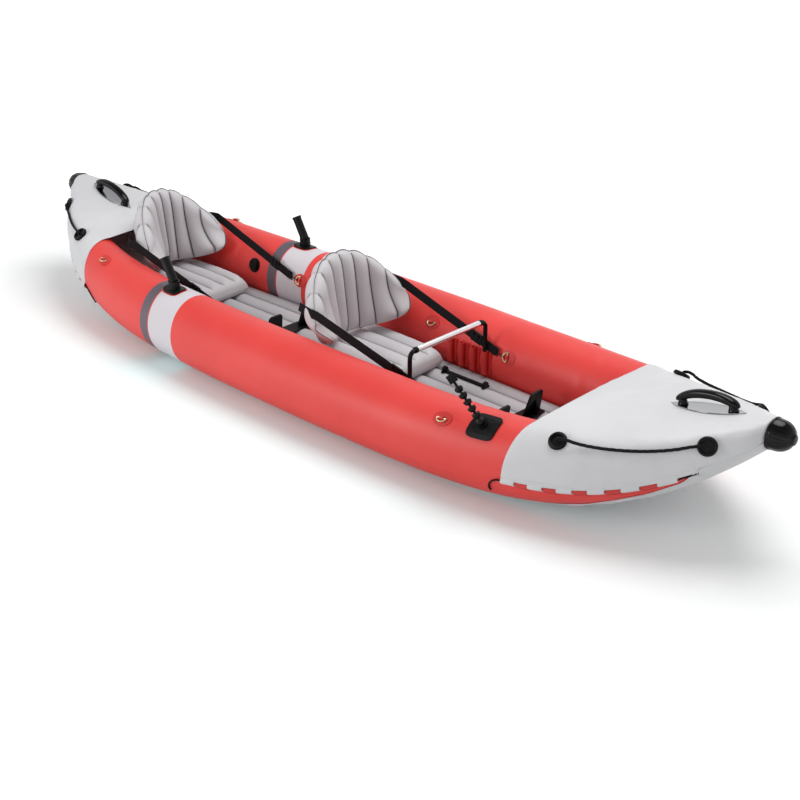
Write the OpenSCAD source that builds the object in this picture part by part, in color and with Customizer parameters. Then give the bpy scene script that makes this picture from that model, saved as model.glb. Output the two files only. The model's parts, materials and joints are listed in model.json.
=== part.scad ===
// Inflatable tandem kayak: two side chambers, laced deck covers, two inflated seats and fittings.
// Millimetres. X runs to the bow, Y to port, Z up; the origin is under midships on the ground.

/* [Hull] */
// Overall length over both nose caps
hull_length = 3840; // [3600:10:4200]
// Overall beam over both side chambers
hull_beam = 990; // [940:5:1060]
// Width of a side chamber amidships
tube_width = 270; // [250:2:290]
// Height of a side chamber's top amidships
tube_top_mid = 300; // [280:2:330]
// Height of a side chamber's top at the nose
tube_top_end = 462; // [440:2:500]
// Height of a side chamber's underside at the nose
tube_low_end = 366; // [345:1:385]
// Half width of the two chambers together at the nose
nose_half = 50; // [44:1:56]
// Width of one chamber at the nose, before the two press flat on each other
nose_tube_width = 90; // [80:1:100]
// Length of a nose cap
nose_cap_len = 80; // [60:1:110]
// Thickness of the bottom sheet
bottom_thick = 2; // [1:0.5:4]

/* [Floor] */
// Thickness of the inflated floor at its channel crests
floor_thick = 95; // [75:1:105]
// Half length of the floor
floor_half_len = 1250; // [1100:10:1300]
// Number of lengthwise channels in the floor
floor_channels = 6; // [4:1:7]

/* [Deck covers] */
// Distance from midships to the bow cover's cockpit edge
bow_cover_x = 1150; // [1100:5:1250]
// Distance from midships to the stern cover's cockpit edge
stern_cover_x = 1310; // [1250:5:1340]
// Thickness of the cover laminate
cover_thick = 1.5; // [1:0.1:2]
// Rise of the cover's centre line over the chambers at the cockpit edge
edge_crown = 8; // [4:1:16]
// Number of hem tabs along each side of a cover
hem_tabs = 6; // [4:1:7]
// Diameter of the lacing cord
lacing_d = 6; // [5:0.5:7]
// Diameter of the grab rope
rope_d = 11; // [9:0.5:12]
// Diameter of a rope eyelet
eyelet_d = 64; // [56:1:70]

/* [Handles] */
// Length of a handle plate
handle_plate_len = 280; // [250:2:300]
// Width of a handle plate
handle_plate_w = 84; // [74:1:96]
// Length of the handle grip
grip_len = 236; // [210:2:240]
// Height of the handle grip over its plate
grip_h = 56; // [50:1:64]
// Width of the handle grip
grip_w = 26; // [22:1:30]

/* [Seats] */
// Distance from midships to the front seat's crease
front_seat_x = -70; // [-100:5:-40]
// Distance from midships to the rear seat's crease
rear_seat_x = -1220; // [-1240:5:-1180]
// Length of the seat base ahead of the crease
seat_len = 380; // [340:5:400]
// Thickness of the seat base at its channel crests
seat_thick = 78; // [66:1:86]
// Gap between the seat base and each side chamber
seat_side_gap = 26; // [20:1:40]
// Number of lengthwise channels in a seat base
seat_channels = 5; // [4:1:6]
// Height of a backrest at its middle
back_h = 345; // [310:5:350]
// Thickness of a backrest at its channel crests
back_thick = 92; // [80:1:96]
// How far the backrest's sides come forward
back_wrap = 120; // [100:2:130]
// How far a backrest reaches over each chamber's cockpit side
back_over = 11; // [0:1:20]
// Number of upright channels in a backrest
back_channels = 8; // [6:1:9]
// Recline of the backrest from upright, in degrees
back_recline = 7; // [4:1:10]
// Width of a backrest strap
strap_w = 34; // [28:1:38]

/* [Fittings] */
// Distance from midships to the rod holders
rod_x = -690; // [-720:5:-660]
// Bore of a rod holder tube
rod_bore = 31; // [28:0.5:33]
// Length of a rod holder tube
rod_tube_len = 104; // [90:1:120]
// Aft lean of a rod holder tube, in degrees
rod_lean = 30; // [24:1:34]
// Distance from midships to the first bar sleeve
sleeve_x = 310; // [290:5:320]
// Spacing of the bar sleeves
sleeve_pitch = 60; // [56:1:64]
// Sleeve that the mounting bar stands in, counted from aft
bar_sleeve = 4; // [2:1:4]
// Height of the mounting bar's centre line
bar_z = 334; // [320:1:350]
// Diameter of the mounting bar's metal tube
bar_d = 22; // [20:1:24]
// Diameter of the mounting bar's legs
leg_d = 17; // [15:0.5:18]
// Distance from the bow cover's cockpit edge back to the device holder
holder_back = 140; // [130:1:165]
// Distance between two ball joints of the device holder's arm
arm_pitch = 26; // [25:0.5:30]
// Diameter of a ball of the device holder's arm
arm_ball_d = 18; // [16:0.5:18]
// Distance from midships to the front foot brace
front_brace_x = 820; // [800:5:840]
// Distance from midships to the rear foot brace
rear_brace_x = -400; // [-430:5:-380]
// Height of a foot brace pad
brace_h = 96; // [84:1:105]
// Diameter of a tie-down ring, measured on its wire's centre line
ring_d = 36; // [32:1:40]
// Diameter of the ring wire
ring_wire = 5; // [4:0.5:5]
// Diameter of an air valve's flange
valve_d = 64; // [56:1:70]

/* [Hidden] */
$fn = 48;

// Clearances: a soft piece to its seat, a hard piece to its seat, a turning fit
soft_gap = 0.8;
seat_gap = 0.4;
turn_gap = 0.15;
// Gap between the two chambers where they press on each other
keel_gap = 0.4;
// Gap between a chamber and the bottom sheet
sheet_gap = 1.2;

// Hull shape exponents
plan_round = 0.18;
plan_power = 5;
taper_power = 3.8;
sheer_power = 4.6;
rocker_power = 4.9;
tube_end_x = hull_length / 2 - nose_cap_len;
tube_low_mid = bottom_thick + sheet_gap;
tube_rings = 32;
tube_sides = 24;

function unit(v) = v / norm(v);
function share(x, from, to) = min(1, max(0, (x - from) / (to - from)));
function ease(t) = t * t * (3 - 2 * t);
function mix(a, b, t) = a + (b - a) * t;

// Hull lines at a station x
function reach(x) = min(1, abs(x) / tube_end_x);
function half_beam(x) = nose_half + (hull_beam / 2 - nose_half)
    * (1 - plan_round * pow(reach(x), 2) - (1 - plan_round) * pow(reach(x), plan_power));
function tube_w(x) = mix(tube_width, nose_tube_width, pow(reach(x), taper_power));
function tube_top(x) = mix(tube_top_mid, tube_top_end, pow(reach(x), sheer_power));
function tube_low(x) = mix(tube_low_mid, tube_low_end, pow(reach(x), rocker_power));
function tube_y(x) = half_beam(x) - tube_w(x) / 2;
function tube_z(x) = (tube_top(x) + tube_low(x)) / 2;
function tube_h(x) = tube_top(x) - tube_low(x);
// Point on the port chamber's skin: angle 0 faces outboard, 90 is the top, 180 faces the cockpit
function skin(x, a, lift = 0) = [
    x,
    max(keel_gap, tube_y(x) + (tube_w(x) / 2 + lift) * cos(a)),
    tube_z(x) + (tube_h(x) / 2 + lift) * sin(a)
];
// Half width of the cockpit between the chambers at height z
function inner_y(x, z) = tube_y(x)
    - tube_w(x) / 2 * sqrt(max(0, 1 - pow((z - tube_z(x)) / (tube_h(x) / 2), 2)));
// Angle on the cockpit side at which the skin is at height z
function inner_angle(x, z) = 180 - asin((z - tube_z(x)) / (tube_h(x) / 2));
// Degrees of angle for a distance along the skin
function arc(x, d) = d / (tube_h(x) / 2) * 180 / PI;
// Placing matrix on the skin: local X along the chamber, local Z out of the skin
function skin_frame(x, a, lift = 0) = let(
    t = unit(skin(x + 1, a, lift) - skin(x - 1, a, lift)),
    c = unit(skin(x, a + 1, lift) - skin(x, a - 1, lift)),
    n = unit(cross(c, t)),
    s = cross(n, t),
    p = skin(x, a, lift)
) [[t.x, s.x, n.x, p.x], [t.y, s.y, n.y, p.y], [t.z, s.z, n.z, p.z], [0, 0, 0, 1]];

module on_side(side) {
    if (side > 0) children();
    else mirror([0, 1, 0]) children();
}
module both_sides() {
    on_side(1) children();
    on_side(-1) children();
}
module at_skin(x, a, lift = 0) { multmatrix(skin_frame(x, a, lift)) children(); }

// Closed solid through rings of points, from an end point to an end point
module ring_stack(first, rings, last) {
    n = len(rings[0]);
    m = len(rings);
    points = concat([first], [for (r = rings) each r], [last]);
    polyhedron(points, concat(
        [for (k = [0:n - 1]) [0, 1 + k, 1 + (k + 1) % n]],
        [for (i = [0:m - 2], k = [0:n - 1]) let(a = 1 + i * n, b = a + n, j = (k + 1) % n) each
            [[a + k, b + k, b + j], [a + k, b + j, a + j]]],
        [for (k = [0:n - 1]) let(a = 1 + (m - 1) * n) [1 + m * n, a + (k + 1) % n, a + k]]
    ));
}

// Closed solid between two sheets of points, rows by columns
module thick_sheet(top, low) {
    rows = len(top);
    cols = len(top[0]);
    n = rows * cols;
    function at(i, j) = i * cols + j;
    function quad(a, b, c, d) = [[a, b, c], [a, c, d]];
    r = rows - 1;
    c = cols - 1;
    polyhedron(concat([for (row = top) each row], [for (row = low) each row]), concat(
        [for (i = [0:r - 1], j = [0:c - 1]) each
            quad(at(i, j), at(i, j + 1), at(i + 1, j + 1), at(i + 1, j))],
        [for (i = [0:r - 1], j = [0:c - 1]) each
            quad(n + at(i, j), n + at(i + 1, j), n + at(i + 1, j + 1), n + at(i, j + 1))],
        [for (j = [0:c - 1]) each quad(n + at(0, j), n + at(0, j + 1), at(0, j + 1), at(0, j))],
        [for (j = [0:c - 1]) each quad(n + at(r, j + 1), n + at(r, j), at(r, j), at(r, j + 1))],
        [for (i = [0:r - 1]) each quad(n + at(i + 1, 0), n + at(i, 0), at(i, 0), at(i + 1, 0))],
        [for (i = [0:r - 1]) each quad(n + at(i, c), n + at(i + 1, c), at(i + 1, c), at(i, c))]
    ));
}

// Round cord swept along points whose direction is never along Y
module swept_cord(path, d, sides = 8) {
    last = len(path) - 1;
    function along(i) = unit(path[min(last, i + 1)] - path[max(0, i - 1)]);
    rings = [for (i = [0:last]) let(
        t = along(i),
        up = unit(cross(t, [0, 1, 0])),
        out = cross(up, t)
    ) [for (k = [0:sides - 1]) path[i] + d / 2 * (cos(360 * k / sides) * out + sin(360 * k / sides) * up)]];
    ring_stack(path[0], rings, path[last]);
}

// Pad that follows the port chamber's skin, with a rounded outline
module skin_pad(x, a, length, width, lift, thick, power = 2, sides = 20, steps = 3) {
    function bend(c) = sign(c) * pow(abs(c), 2 / power);
    function rim(t, up) = [for (k = [0:sides - 1]) let(f = 360 * k / sides)
        skin(x + t * length / 2 * bend(cos(f)), a + arc(x, t * width / 2 * bend(sin(f))), up)];
    ring_stack(
        skin(x, a, lift + thick),
        concat(
            [for (i = [1:steps]) rim(i / steps, lift + thick)],
            [for (i = [steps:-1:1]) rim(i / steps, lift)]
        ),
        skin(x, a, lift)
    );
}

// Side chambers
function station(t) = tube_end_x * (0.35 * t + 0.65 * sin(90 * t));
module side_chamber(side) {
    rings = [for (i = [0:tube_rings]) let(x = station(2 * i / tube_rings - 1))
        [for (k = [0:tube_sides - 1]) skin(x, 360 * k / tube_sides)]];
    end_mid = [0, nose_half / 2, tube_z(tube_end_x)];
    color([0.87, 0.27, 0.24]) on_side(side)
        ring_stack(end_mid - [tube_end_x, 0, 0], rings, end_mid + [tube_end_x, 0, 0]);
}

// Cover and bottom edges on the chambers: the lacing line runs down towards the nose
tip_x = tube_end_x - 140;
lacing_a0 = -14;
lacing_a1 = -31;
corner_sweep = 30;
function cover_x(end) = end > 0 ? bow_cover_x : stern_cover_x;
function lacing_angle(x, end) = mix(lacing_a0, lacing_a1, share(abs(x), cover_x(end), tip_x));
seam_start_x = 1000;
seam_a0 = -80;
seam_a1 = lacing_a1 - 15;
function seam_angle(x) = mix(seam_a0, seam_a1, ease(share(abs(x), seam_start_x, tip_x)));

// Bottom sheet, cut level where the boat rests
sheet_rows = tube_rings;
sheet_steps = 5;
ground_cut = 0.5;
function sheet_x(i) = (tube_end_x - soft_gap) / tube_end_x * station(2 * i / sheet_rows - 1);
module hull_bottom() {
    function edge_points(x, lift) = [for (k = [0:sheet_steps])
        skin(x, mix(seam_angle(x), -90, k / sheet_steps), lift)];
    function row(x, lift) = let(port = edge_points(x, lift)) concat(
        [for (p = port) [p.x, -p.y, p.z]],
        [[x, 0, port[sheet_steps].z]],
        [for (k = [sheet_steps:-1:0]) port[k]]
    );
    xs = [for (i = [0:sheet_rows]) sheet_x(i)];
    color([0.72, 0.72, 0.74]) intersection() {
        thick_sheet(
            [for (x = xs) row(x, sheet_gap)],
            [for (x = xs) row(x, sheet_gap + bottom_thick + ground_cut)]
        );
        translate([-hull_length, -hull_beam, 0]) cube([2 * hull_length, 2 * hull_beam, tube_top_end]);
    }
}

// Inflated floor with lengthwise channels
floor_rows = 12;
channel_steps = 3;
floor_side_gap = 8;
// The floor's top is level while its underside follows the bottom sheet
function floor_low(x) = tube_low(x) - sheet_gap + soft_gap;
floor_top = floor_low(0) + floor_thick;
function floor_seam(x) = mix(floor_low(x), floor_top, 0.46);
// Channel profile across a cushion: 1 on a crest, less in the welded valleys
function channel(v, count, depth) = 1 - depth + depth * min(1, abs(sin(90 * count * (v + 1))) / sin(60));
function pinch(t, power) = sqrt(max(0, 1 - pow(abs(t), power)));
module inflatable_floor() {
    cols = floor_channels * channel_steps;
    seam_flange = 3;
    function half_w(x) = inner_y(x, floor_seam(x)) - floor_side_gap;
    function point(u, v, z) = [floor_half_len * u, half_w(floor_half_len * u) * v, z];
    function top_z(u, v) = mix(floor_seam(floor_half_len * u), floor_top,
        pinch(u, 20) * pinch(v, 16) * channel(v, floor_channels, 0.5));
    function low_z(u, v) = let(x = floor_half_len * u)
        mix(floor_seam(x) - seam_flange, floor_low(x), pinch(u, 30) * pinch(v, 30));
    us = [for (i = [0:floor_rows]) sin(90 * (2 * i / floor_rows - 1))];
    vs = [for (j = [0:cols]) 2 * j / cols - 1];
    color([0.78, 0.78, 0.79]) thick_sheet(
        [for (u = us) [for (v = vs) point(u, v, top_z(u, v))]],
        [for (u = us) [for (v = vs) point(u, v, low_z(u, v))]]
    );
}

// Deck covers: round the chambers' outer sides and straight across between their tops
cover_rows = 12;
deck_cols = 3;
cover_end_x = tube_end_x - soft_gap;
cover_edge_rise = 10;
function deck_z(x, end) = mix(tube_top(cover_x(end)) + edge_crown, tube_top(tube_end_x),
    share(abs(x), cover_x(end), tube_end_x));
function deck_crown(x, end) = max(0, deck_z(x, end) - tube_top(x));
function deck_point(x, end, f, lift) = [
    x, f * tube_y(x), tube_top(x) + lift + deck_crown(x, end) * (1 - f * f)
];
module deck_cover(end) {
    function angles(x) = let(low = lacing_angle(x, end) + arc(x, cover_edge_rise))
        concat([low, low / 2], [for (a = [0:15:90]) a]);
    function row_x(t, a) = mix(cover_x(end) - corner_sweep * (90 - a) / 100, cover_end_x, t);
    function half_row(t, lift) = let(mid_x = row_x(t, 0) * end) concat(
        [for (a = angles(mid_x)) skin(row_x(t, a) * end, a, lift)],
        [for (k = [deck_cols - 1:-1:0]) deck_point(row_x(t, 90) * end, end, k / deck_cols, lift)]
    );
    function row(t, lift) = let(port = half_row(t, lift), n = len(port)) concat(
        [for (p = port) [p.x, -p.y, p.z]],
        [for (k = [n - 2:-1:0]) port[k]]
    );
    ts = [for (i = [0:cover_rows]) end > 0 ? i / cover_rows : 1 - i / cover_rows];
    color([0.82, 0.82, 0.83]) thick_sheet(
        [for (t = ts) row(t, soft_gap + cover_thick)],
        [for (t = ts) row(t, soft_gap)]
    );
}

// Notched hems that hold the lacing cord, and the chamber's own tabs in the notches
hem_lift = soft_gap + cover_thick + seat_gap;
hem_thick = 1.4;
hem_above = 26;
hem_below = 13;
hem_notch = 9;
bump_half = 14;
tab_gap = 3;
tab_lift = 0.5;
tab_below = 24;
function hem_start(end) = cover_x(end) - corner_sweep + 4;
function hem_pitch(end) = (tip_x - hem_start(end)) / hem_tabs;
// Lift of a hem or tab at distance d above the cord: it arches over the cord
function cord_arch(d, base) = base + (lacing_d + 1.6) * max(0, 1 - pow(d / bump_half, 2));
function lacing_skin(x, end, d, lift) = skin(x, lacing_angle(x, end) + arc(x, d), lift);
module cover_hems(end) {
    step = 0.1;
    cols = 5;
    pitch = hem_pitch(end);
    // Each tab ends in a step to the notch beside it
    marks = [for (i = [0:hem_tabs - 1]) each [
        [pitch * i + step, -hem_below], [pitch * (i + 0.5) - step, -hem_below],
        [pitch * (i + 0.5) + step, hem_notch], [pitch * (i + 1) - step, hem_notch]]];
    rows = [for (i = [0:len(marks) - 1]) marks[end > 0 ? i : len(marks) - 1 - i]];
    function row(m, lift) = [for (j = [0:cols]) let(d = mix(hem_above, m[1], j / cols))
        lacing_skin((hem_start(end) + m[0]) * end, end, d, cord_arch(d, hem_lift) + lift)];
    color([0.82, 0.82, 0.83]) both_sides()
        thick_sheet([for (m = rows) row(m, hem_thick)], [for (m = rows) row(m, 0)]);
}
module lacing_tabs(end) {
    cols = 5;
    pitch = hem_pitch(end);
    // A tab stops short of the bottom sheet's seam
    function tab_low(x) = -min(tab_below, (lacing_angle(x, end) - seam_angle(x)) / arc(x, 1) - tab_gap);
    function row(x, lift) = [for (j = [0:cols]) let(d = mix(hem_notch - tab_gap, tab_low(x), j / cols))
        lacing_skin(x, end, d, cord_arch(d, tab_lift) + lift)];
    // The last notch, at the tip, has no tab
    color([0.7, 0.12, 0.1]) both_sides() for (i = [0:hem_tabs - 2]) {
        from = hem_start(end) + pitch * (i + 0.5) + tab_gap;
        to = hem_start(end) + pitch * (i + 1) - tab_gap;
        xs = [for (f = [0, 0.5, 1]) end * mix(from, to, end > 0 ? f : 1 - f)];
        thick_sheet([for (x = xs) row(x, hem_thick)], [for (x = xs) row(x, 0)]);
    }
}
// Lacing cord: a loose tail at the cockpit corner, as [distance aft, distance below], then the hem
lacing_tail = [[56, 62], [57, 48], [55, 34], [48, 20], [36, 8], [20, 1]];
lacing_steps = 22;
module lacing_cord(end, side) {
    from = hem_start(end);
    lift = soft_gap + lacing_d / 2;
    path = concat(
        [for (p = lacing_tail) lacing_skin((from - p[0]) * end, end, -p[1], lift)],
        [for (i = [0:lacing_steps]) lacing_skin(mix(from, tip_x, i / lacing_steps) * end, end, 0, lift)]
    );
    color([0.08, 0.08, 0.09]) on_side(side) swept_cord(path, lacing_d);
}

// Nose caps
module nose_cap(end) {
    r = max(nose_half, (tube_top_end - tube_low_end) / 2) + 3;
    rim_r = 3;
    length = nose_cap_len - seat_gap;
    tip_r = r * 0.42;
    bulge = 1.6 * r;
    translate([end * (tube_end_x + seat_gap), 0, tube_z(tube_end_x)]) rotate([0, end * 90, 0])
        color([0.1, 0.1, 0.11]) {
            rotate_extrude() intersection() {
                translate([0, 0]) square([r, length]);
                union() {
                    translate([r - bulge, rim_r]) circle(r = bulge, $fn = 96);
                    square([r, rim_r]);
                }
                union() {
                    translate([0, length - tip_r]) circle(r = tip_r);
                    square([r, length - tip_r]);
                    polygon([[0, length], [tip_r * 0.8, length - tip_r * 0.4], [r, length - r], [0, 0]]);
                }
            }
            translate([0, 0, rim_r]) rotate_extrude() translate([r - rim_r / 2, 0]) circle(r = rim_r);
        }
}

// Carry handles, on the straight centre line of the covers
handle_plate_t = 2.5;
grip_foot_r = 15;
function handle_x(end) = tube_end_x - nose_cap_len - handle_plate_len / 2 - 15;
function deck_slope(end) = atan((deck_z(tube_end_x, end) - deck_z(cover_x(end), end))
    / (tube_end_x - cover_x(end)));
module at_handle(end) {
    x = handle_x(end);
    lift = soft_gap + cover_thick + seat_gap;
    translate([end * x, 0, deck_z(x * end, end) + lift]) rotate([0, -end * deck_slope(end), 0]) children();
}
module handle_plates() {
    // Two arcs meet in a point at each end
    half_l = handle_plate_len / 2;
    half_w = handle_plate_w / 2;
    r = (half_l * half_l + half_w * half_w) / (2 * half_w);
    color([0.8, 0.81, 0.83]) for (end = [1, -1]) at_handle(end) linear_extrude(handle_plate_t) intersection() {
        translate([0, r - half_w]) circle(r = r, $fn = 128);
        translate([0, half_w - r]) circle(r = r, $fn = 128);
    }
}
module handle_grips() {
    band = 15;
    half_l = grip_len / 2;
    foot_x = half_l - 1.6 * grip_foot_r;
    r_out = (half_l * half_l + grip_h * grip_h) / (2 * grip_h);
    inner_h = grip_h - band;
    inner_half = foot_x - grip_foot_r + 4;
    r_in = (inner_half * inner_half + inner_h * inner_h) / (2 * inner_h);
    end_r = grip_w / 2;
    color([0.08, 0.08, 0.09]) for (end = [1, -1]) at_handle(end) translate([0, 0, handle_plate_t]) {
        intersection() {
            rotate([90, 0, 0]) linear_extrude(2 * grip_w, center = true) difference() {
                intersection() {
                    translate([0, grip_h - r_out]) circle(r = r_out, $fn = 96);
                    translate([-half_l, band * 0.6]) square([grip_len, grip_h]);
                }
                translate([0, inner_h - r_in]) circle(r = r_in, $fn = 96);
            }
            linear_extrude(2 * grip_h) union() {
                square([grip_len - 2 * end_r, grip_w], center = true);
                for (s = [-1, 1]) translate([s * (half_l - end_r), 0]) circle(r = end_r);
            }
        }
        for (s = [-1, 1]) translate([s * foot_x, 0, seat_gap]) {
            cylinder(r = grip_foot_r, h = 4);
            cylinder(r = grip_foot_r - 4, h = band + 6);
        }
    }
}

// Grab ropes between eyelets on the covers' outer sides
eyelet_flange = 3;
eyelet_rim_r = 5;
eyelet_dish = 5;
rope_slack = 1;
deck_lift = soft_gap + cover_thick + seat_gap;
rope_a = [57, 32];
function rope_x(end) = [cover_x(end) + 130, tip_x + 13];
// Rope route as [share of the way between the eyelets, height over the cover]; the ends stand on the
// eyelets' own axes
rope_route = [[0, 1], [0, 9], [0.008, 15], [0.03, 20], [0.06, 22], [0.1, 20.5], [0.17, 13], [0.28, 9],
    [0.42, 8], [0.58, 8], [0.72, 9], [0.83, 13], [0.9, 20.5], [0.94, 22], [0.97, 20], [0.992, 15], [1, 9],
    [1, 1]];
module rope_eyelets() {
    r = eyelet_d / 2;
    color([0.08, 0.08, 0.09]) both_sides() for (end = [1, -1], k = [0, 1])
        at_skin(end * rope_x(end)[k], rope_a[k], deck_lift) rotate_extrude() difference() {
            union() {
                square([r, eyelet_flange]);
                square([r - eyelet_rim_r, eyelet_dish]);
                translate([r - 1.2 * eyelet_rim_r, eyelet_rim_r + 2]) circle(r = eyelet_rim_r);
            }
            translate([0, -1]) square([rope_d / 2 + rope_slack, eyelet_dish + 2]);
        }
}
function rope_point(end, t, h) = let(
        x = end * mix(rope_x(end)[0], rope_x(end)[1], t), a = mix(rope_a[0], rope_a[1], t),
        m = skin_frame(x, a, deck_lift)
    ) t == 0 || t == 1 ? [for (i = [0:2]) m[i][3] + h * m[i][2]] : skin(x, a, deck_lift + h);
module grab_rope(end, side) {
    route = end > 0 ? rope_route : [for (i = [len(rope_route) - 1:-1:0]) rope_route[i]];
    color([0.06, 0.06, 0.07]) on_side(side) swept_cord([for (p = route) rope_point(end, p[0], p[1])], rope_d);
}

// Rod holders: a base on the chamber and a tube that turns on the base's upright pin
rod_a = 85;
rod_base_len = 96;
rod_base_w = 80;
rod_boss_r = 24;
rod_pin_r = 8;
rod_knuckle_h = 20;
rod_wall = 3;
function rod_seat() = skin(rod_x, rod_a, soft_gap);
rod_boss_top = 16;
rod_pin_h = 16;
module rod_holder_bases() {
    p = rod_seat();
    color([0.1, 0.1, 0.11]) both_sides() {
        skin_pad(rod_x, rod_a, rod_base_len, rod_base_w, soft_gap, 5, 3.5, 24, 2);
        translate([p.x, p.y, p.z + 2]) {
            cylinder(r = rod_boss_r, h = rod_boss_top - 2);
            cylinder(r = rod_pin_r, h = rod_boss_top - 2 + rod_pin_h);
        }
    }
}
module rod_tube(side) {
    p = rod_seat();
    bore_r = rod_bore / 2;
    tube_r = bore_r + rod_wall;
    pin_room = rod_pin_h + 1;
    neck = rod_knuckle_h - 4;
    color([0.12, 0.12, 0.13]) on_side(side) translate([p.x, p.y, p.z + rod_boss_top + seat_gap])
        difference() {
            union() {
                cylinder(r = rod_boss_r - 1, h = rod_knuckle_h);
                translate([0, 0, neck]) rotate([0, -rod_lean, 0]) {
                    cylinder(r = tube_r, h = rod_tube_len);
                    translate([0, 0, rod_tube_len - 8]) cylinder(r = tube_r + 2, h = 8);
                }
            }
            translate([0, 0, -1]) cylinder(r = rod_pin_r + turn_gap, h = pin_room);
            translate([0, 0, neck]) rotate([0, -rod_lean, 0]) translate([0, 0, 18])
                cylinder(r = bore_r, h = rod_tube_len);
        }
}

// Mounting bar: a metal tube on two bent legs that stand in sleeves on the cockpit walls
elbow_r = 26;
leg_fit = 0.5;
sleeve_count = 4;
sleeve_low = 112;
sleeve_h = 96;
sleeve_wall = 2.5;
sleeve_flat = 15;
leg_room = 12;
function leg_y(x) = inner_y(x, tube_z(x)) - leg_d / 2 - leg_fit - sleeve_wall - soft_gap;
bar_x = sleeve_x + (bar_sleeve - 1) * sleeve_pitch;
module bar_sleeves() {
    color([0.75, 0.15, 0.12]) both_sides() for (i = [0:sleeve_count - 1]) {
        x = sleeve_x + i * sleeve_pitch;
        y = leg_y(x);
        r = leg_d / 2 + leg_fit;
        translate([x, y, sleeve_low]) linear_extrude(sleeve_h) difference() {
            union() {
                circle(r = r + sleeve_wall);
                translate([-r - sleeve_flat, r]) square([2 * (r + sleeve_flat), sleeve_wall]);
            }
            circle(r = r);
        }
    }
}
module mounting_bar() {
    y = leg_y(bar_x) - elbow_r - 12;
    color([0.85, 0.85, 0.87]) translate([bar_x, -y, bar_z]) rotate([-90, 0, 0]) difference() {
        cylinder(d = bar_d, h = 2 * y);
        translate([0, 0, -1]) cylinder(d = leg_d + 2 * turn_gap, h = 2 * y + 2);
    }
}
module bar_elbows() {
    y = leg_y(bar_x);
    spigot = 40;
    low = sleeve_low + leg_room;
    color([0.08, 0.08, 0.09]) both_sides() {
        translate([bar_x, y - elbow_r, bar_z - elbow_r]) rotate([90, 0, 90])
            rotate_extrude(angle = 90) translate([elbow_r, 0]) circle(d = leg_d);
        translate([bar_x, y, low]) cylinder(d = leg_d, h = bar_z - elbow_r - low);
        translate([bar_x, y - elbow_r - spigot, bar_z]) rotate([-90, 0, 0]) cylinder(d = leg_d, h = spigot);
        translate([bar_x, y - elbow_r - 12 + seat_gap, bar_z]) rotate([-90, 0, 0])
            cylinder(d = bar_d + 2, h = 12 - seat_gap);
    }
}

// Device holder on the starboard chamber: base, chain of ball joints, cradle and sliding jaw
holder_a = 57;
holder_pad = 104;
holder_pad_t = 6;
arm_links = 5;
arm_cup_r = arm_ball_d / 2 + 6;
arm_cup_gap = 0.4;
arm_cup_rim = 4;
arm_neck_r = 5;
arm_first_lean = 26;
arm_lean_step = 9;
arm_turn = 214;
arm_base_h = 24;
arm_base_shift = 10;
holder_x = bow_cover_x - holder_back;
// Lean of link i from the base's outward direction; link 0 is the base's own cup
function arm_lean(i) = arm_first_lean + arm_lean_step * i;
// Place of ball joint i in the base's own frame: out along Z, leaning along X
function arm_joint(i) = i == 0 ? [arm_base_shift, 0, arm_base_h]
    : arm_joint(i - 1) + arm_pitch * [sin(arm_lean(i)), 0, cos(arm_lean(i))];
module at_arm(i) {
    on_side(-1) at_skin(holder_x, holder_a, soft_gap) rotate([0, 0, arm_turn]) translate(arm_joint(i))
        rotate([0, arm_lean(min(arm_links, i + 1)), 0]) children();
}
module arm_cup() {
    difference() {
        sphere(r = arm_cup_r);
        sphere(r = arm_ball_d / 2 + arm_cup_gap);
        translate([0, 0, arm_cup_rim]) cylinder(r = 2 * arm_cup_r, h = 2 * arm_cup_r);
    }
}
module holder_base() {
    color([0.09, 0.09, 0.1]) {
        on_side(-1) skin_pad(holder_x, holder_a, holder_pad, holder_pad, soft_gap, holder_pad_t, 5, 28);
        on_side(-1) at_skin(holder_x, holder_a, soft_gap) rotate([0, 0, arm_turn]) {
            difference() {
                translate([arm_base_shift, 0, 3]) cylinder(r = arm_cup_r + 6, h = arm_base_h - arm_cup_r);
                translate(arm_joint(0)) sphere(r = arm_ball_d / 2 + arm_cup_gap);
            }
            translate(arm_joint(0)) rotate([0, arm_lean(0), 0]) arm_cup();
        }
    }
}
module arm_link(i) {
    color([0.07, 0.07, 0.08]) at_arm(i - 1) {
        sphere(d = arm_ball_d);
        cylinder(r = arm_neck_r, h = arm_pitch - arm_ball_d / 2 - 2);
        translate([0, 0, arm_pitch]) arm_cup();
    }
}
cradle_w = 30;
cradle_len = 84;
cradle_t = 8;
cradle_stem = 26;
jaw_depth = 22;
jaw_t = 6;
jaw_lip = 8;
jaw_rail_w = 12;
jaw_open = 58;
jaw_tail = 12;
cradle_tilt = 20;
cradle_foot = 15;
// Cradle frame: plate across the arm's end, jaws facing away from the arm
module at_cradle() {
    at_arm(arm_links) rotate([0, -cradle_tilt, 0]) translate([-cradle_foot, -cradle_w / 2, cradle_stem])
        children();
}
module holder_cradle() {
    color([0.07, 0.07, 0.08]) {
        at_arm(arm_links) {
            sphere(d = arm_ball_d);
            rotate([0, -cradle_tilt, 0]) cylinder(r = arm_neck_r, h = cradle_stem + 1);
        }
        at_cradle() difference() {
            union() {
                cube([cradle_len, cradle_w, cradle_t]);
                cube([jaw_t, cradle_w, cradle_t + jaw_depth]);
                translate([0, 0, cradle_t + jaw_depth - 4]) cube([jaw_t + jaw_lip, cradle_w, 4]);
            }
            translate([2 * cradle_foot, (cradle_w - jaw_rail_w) / 2 - seat_gap, -1])
                cube([cradle_len, jaw_rail_w + 2 * seat_gap, cradle_t + 2]);
        }
    }
}
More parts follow.
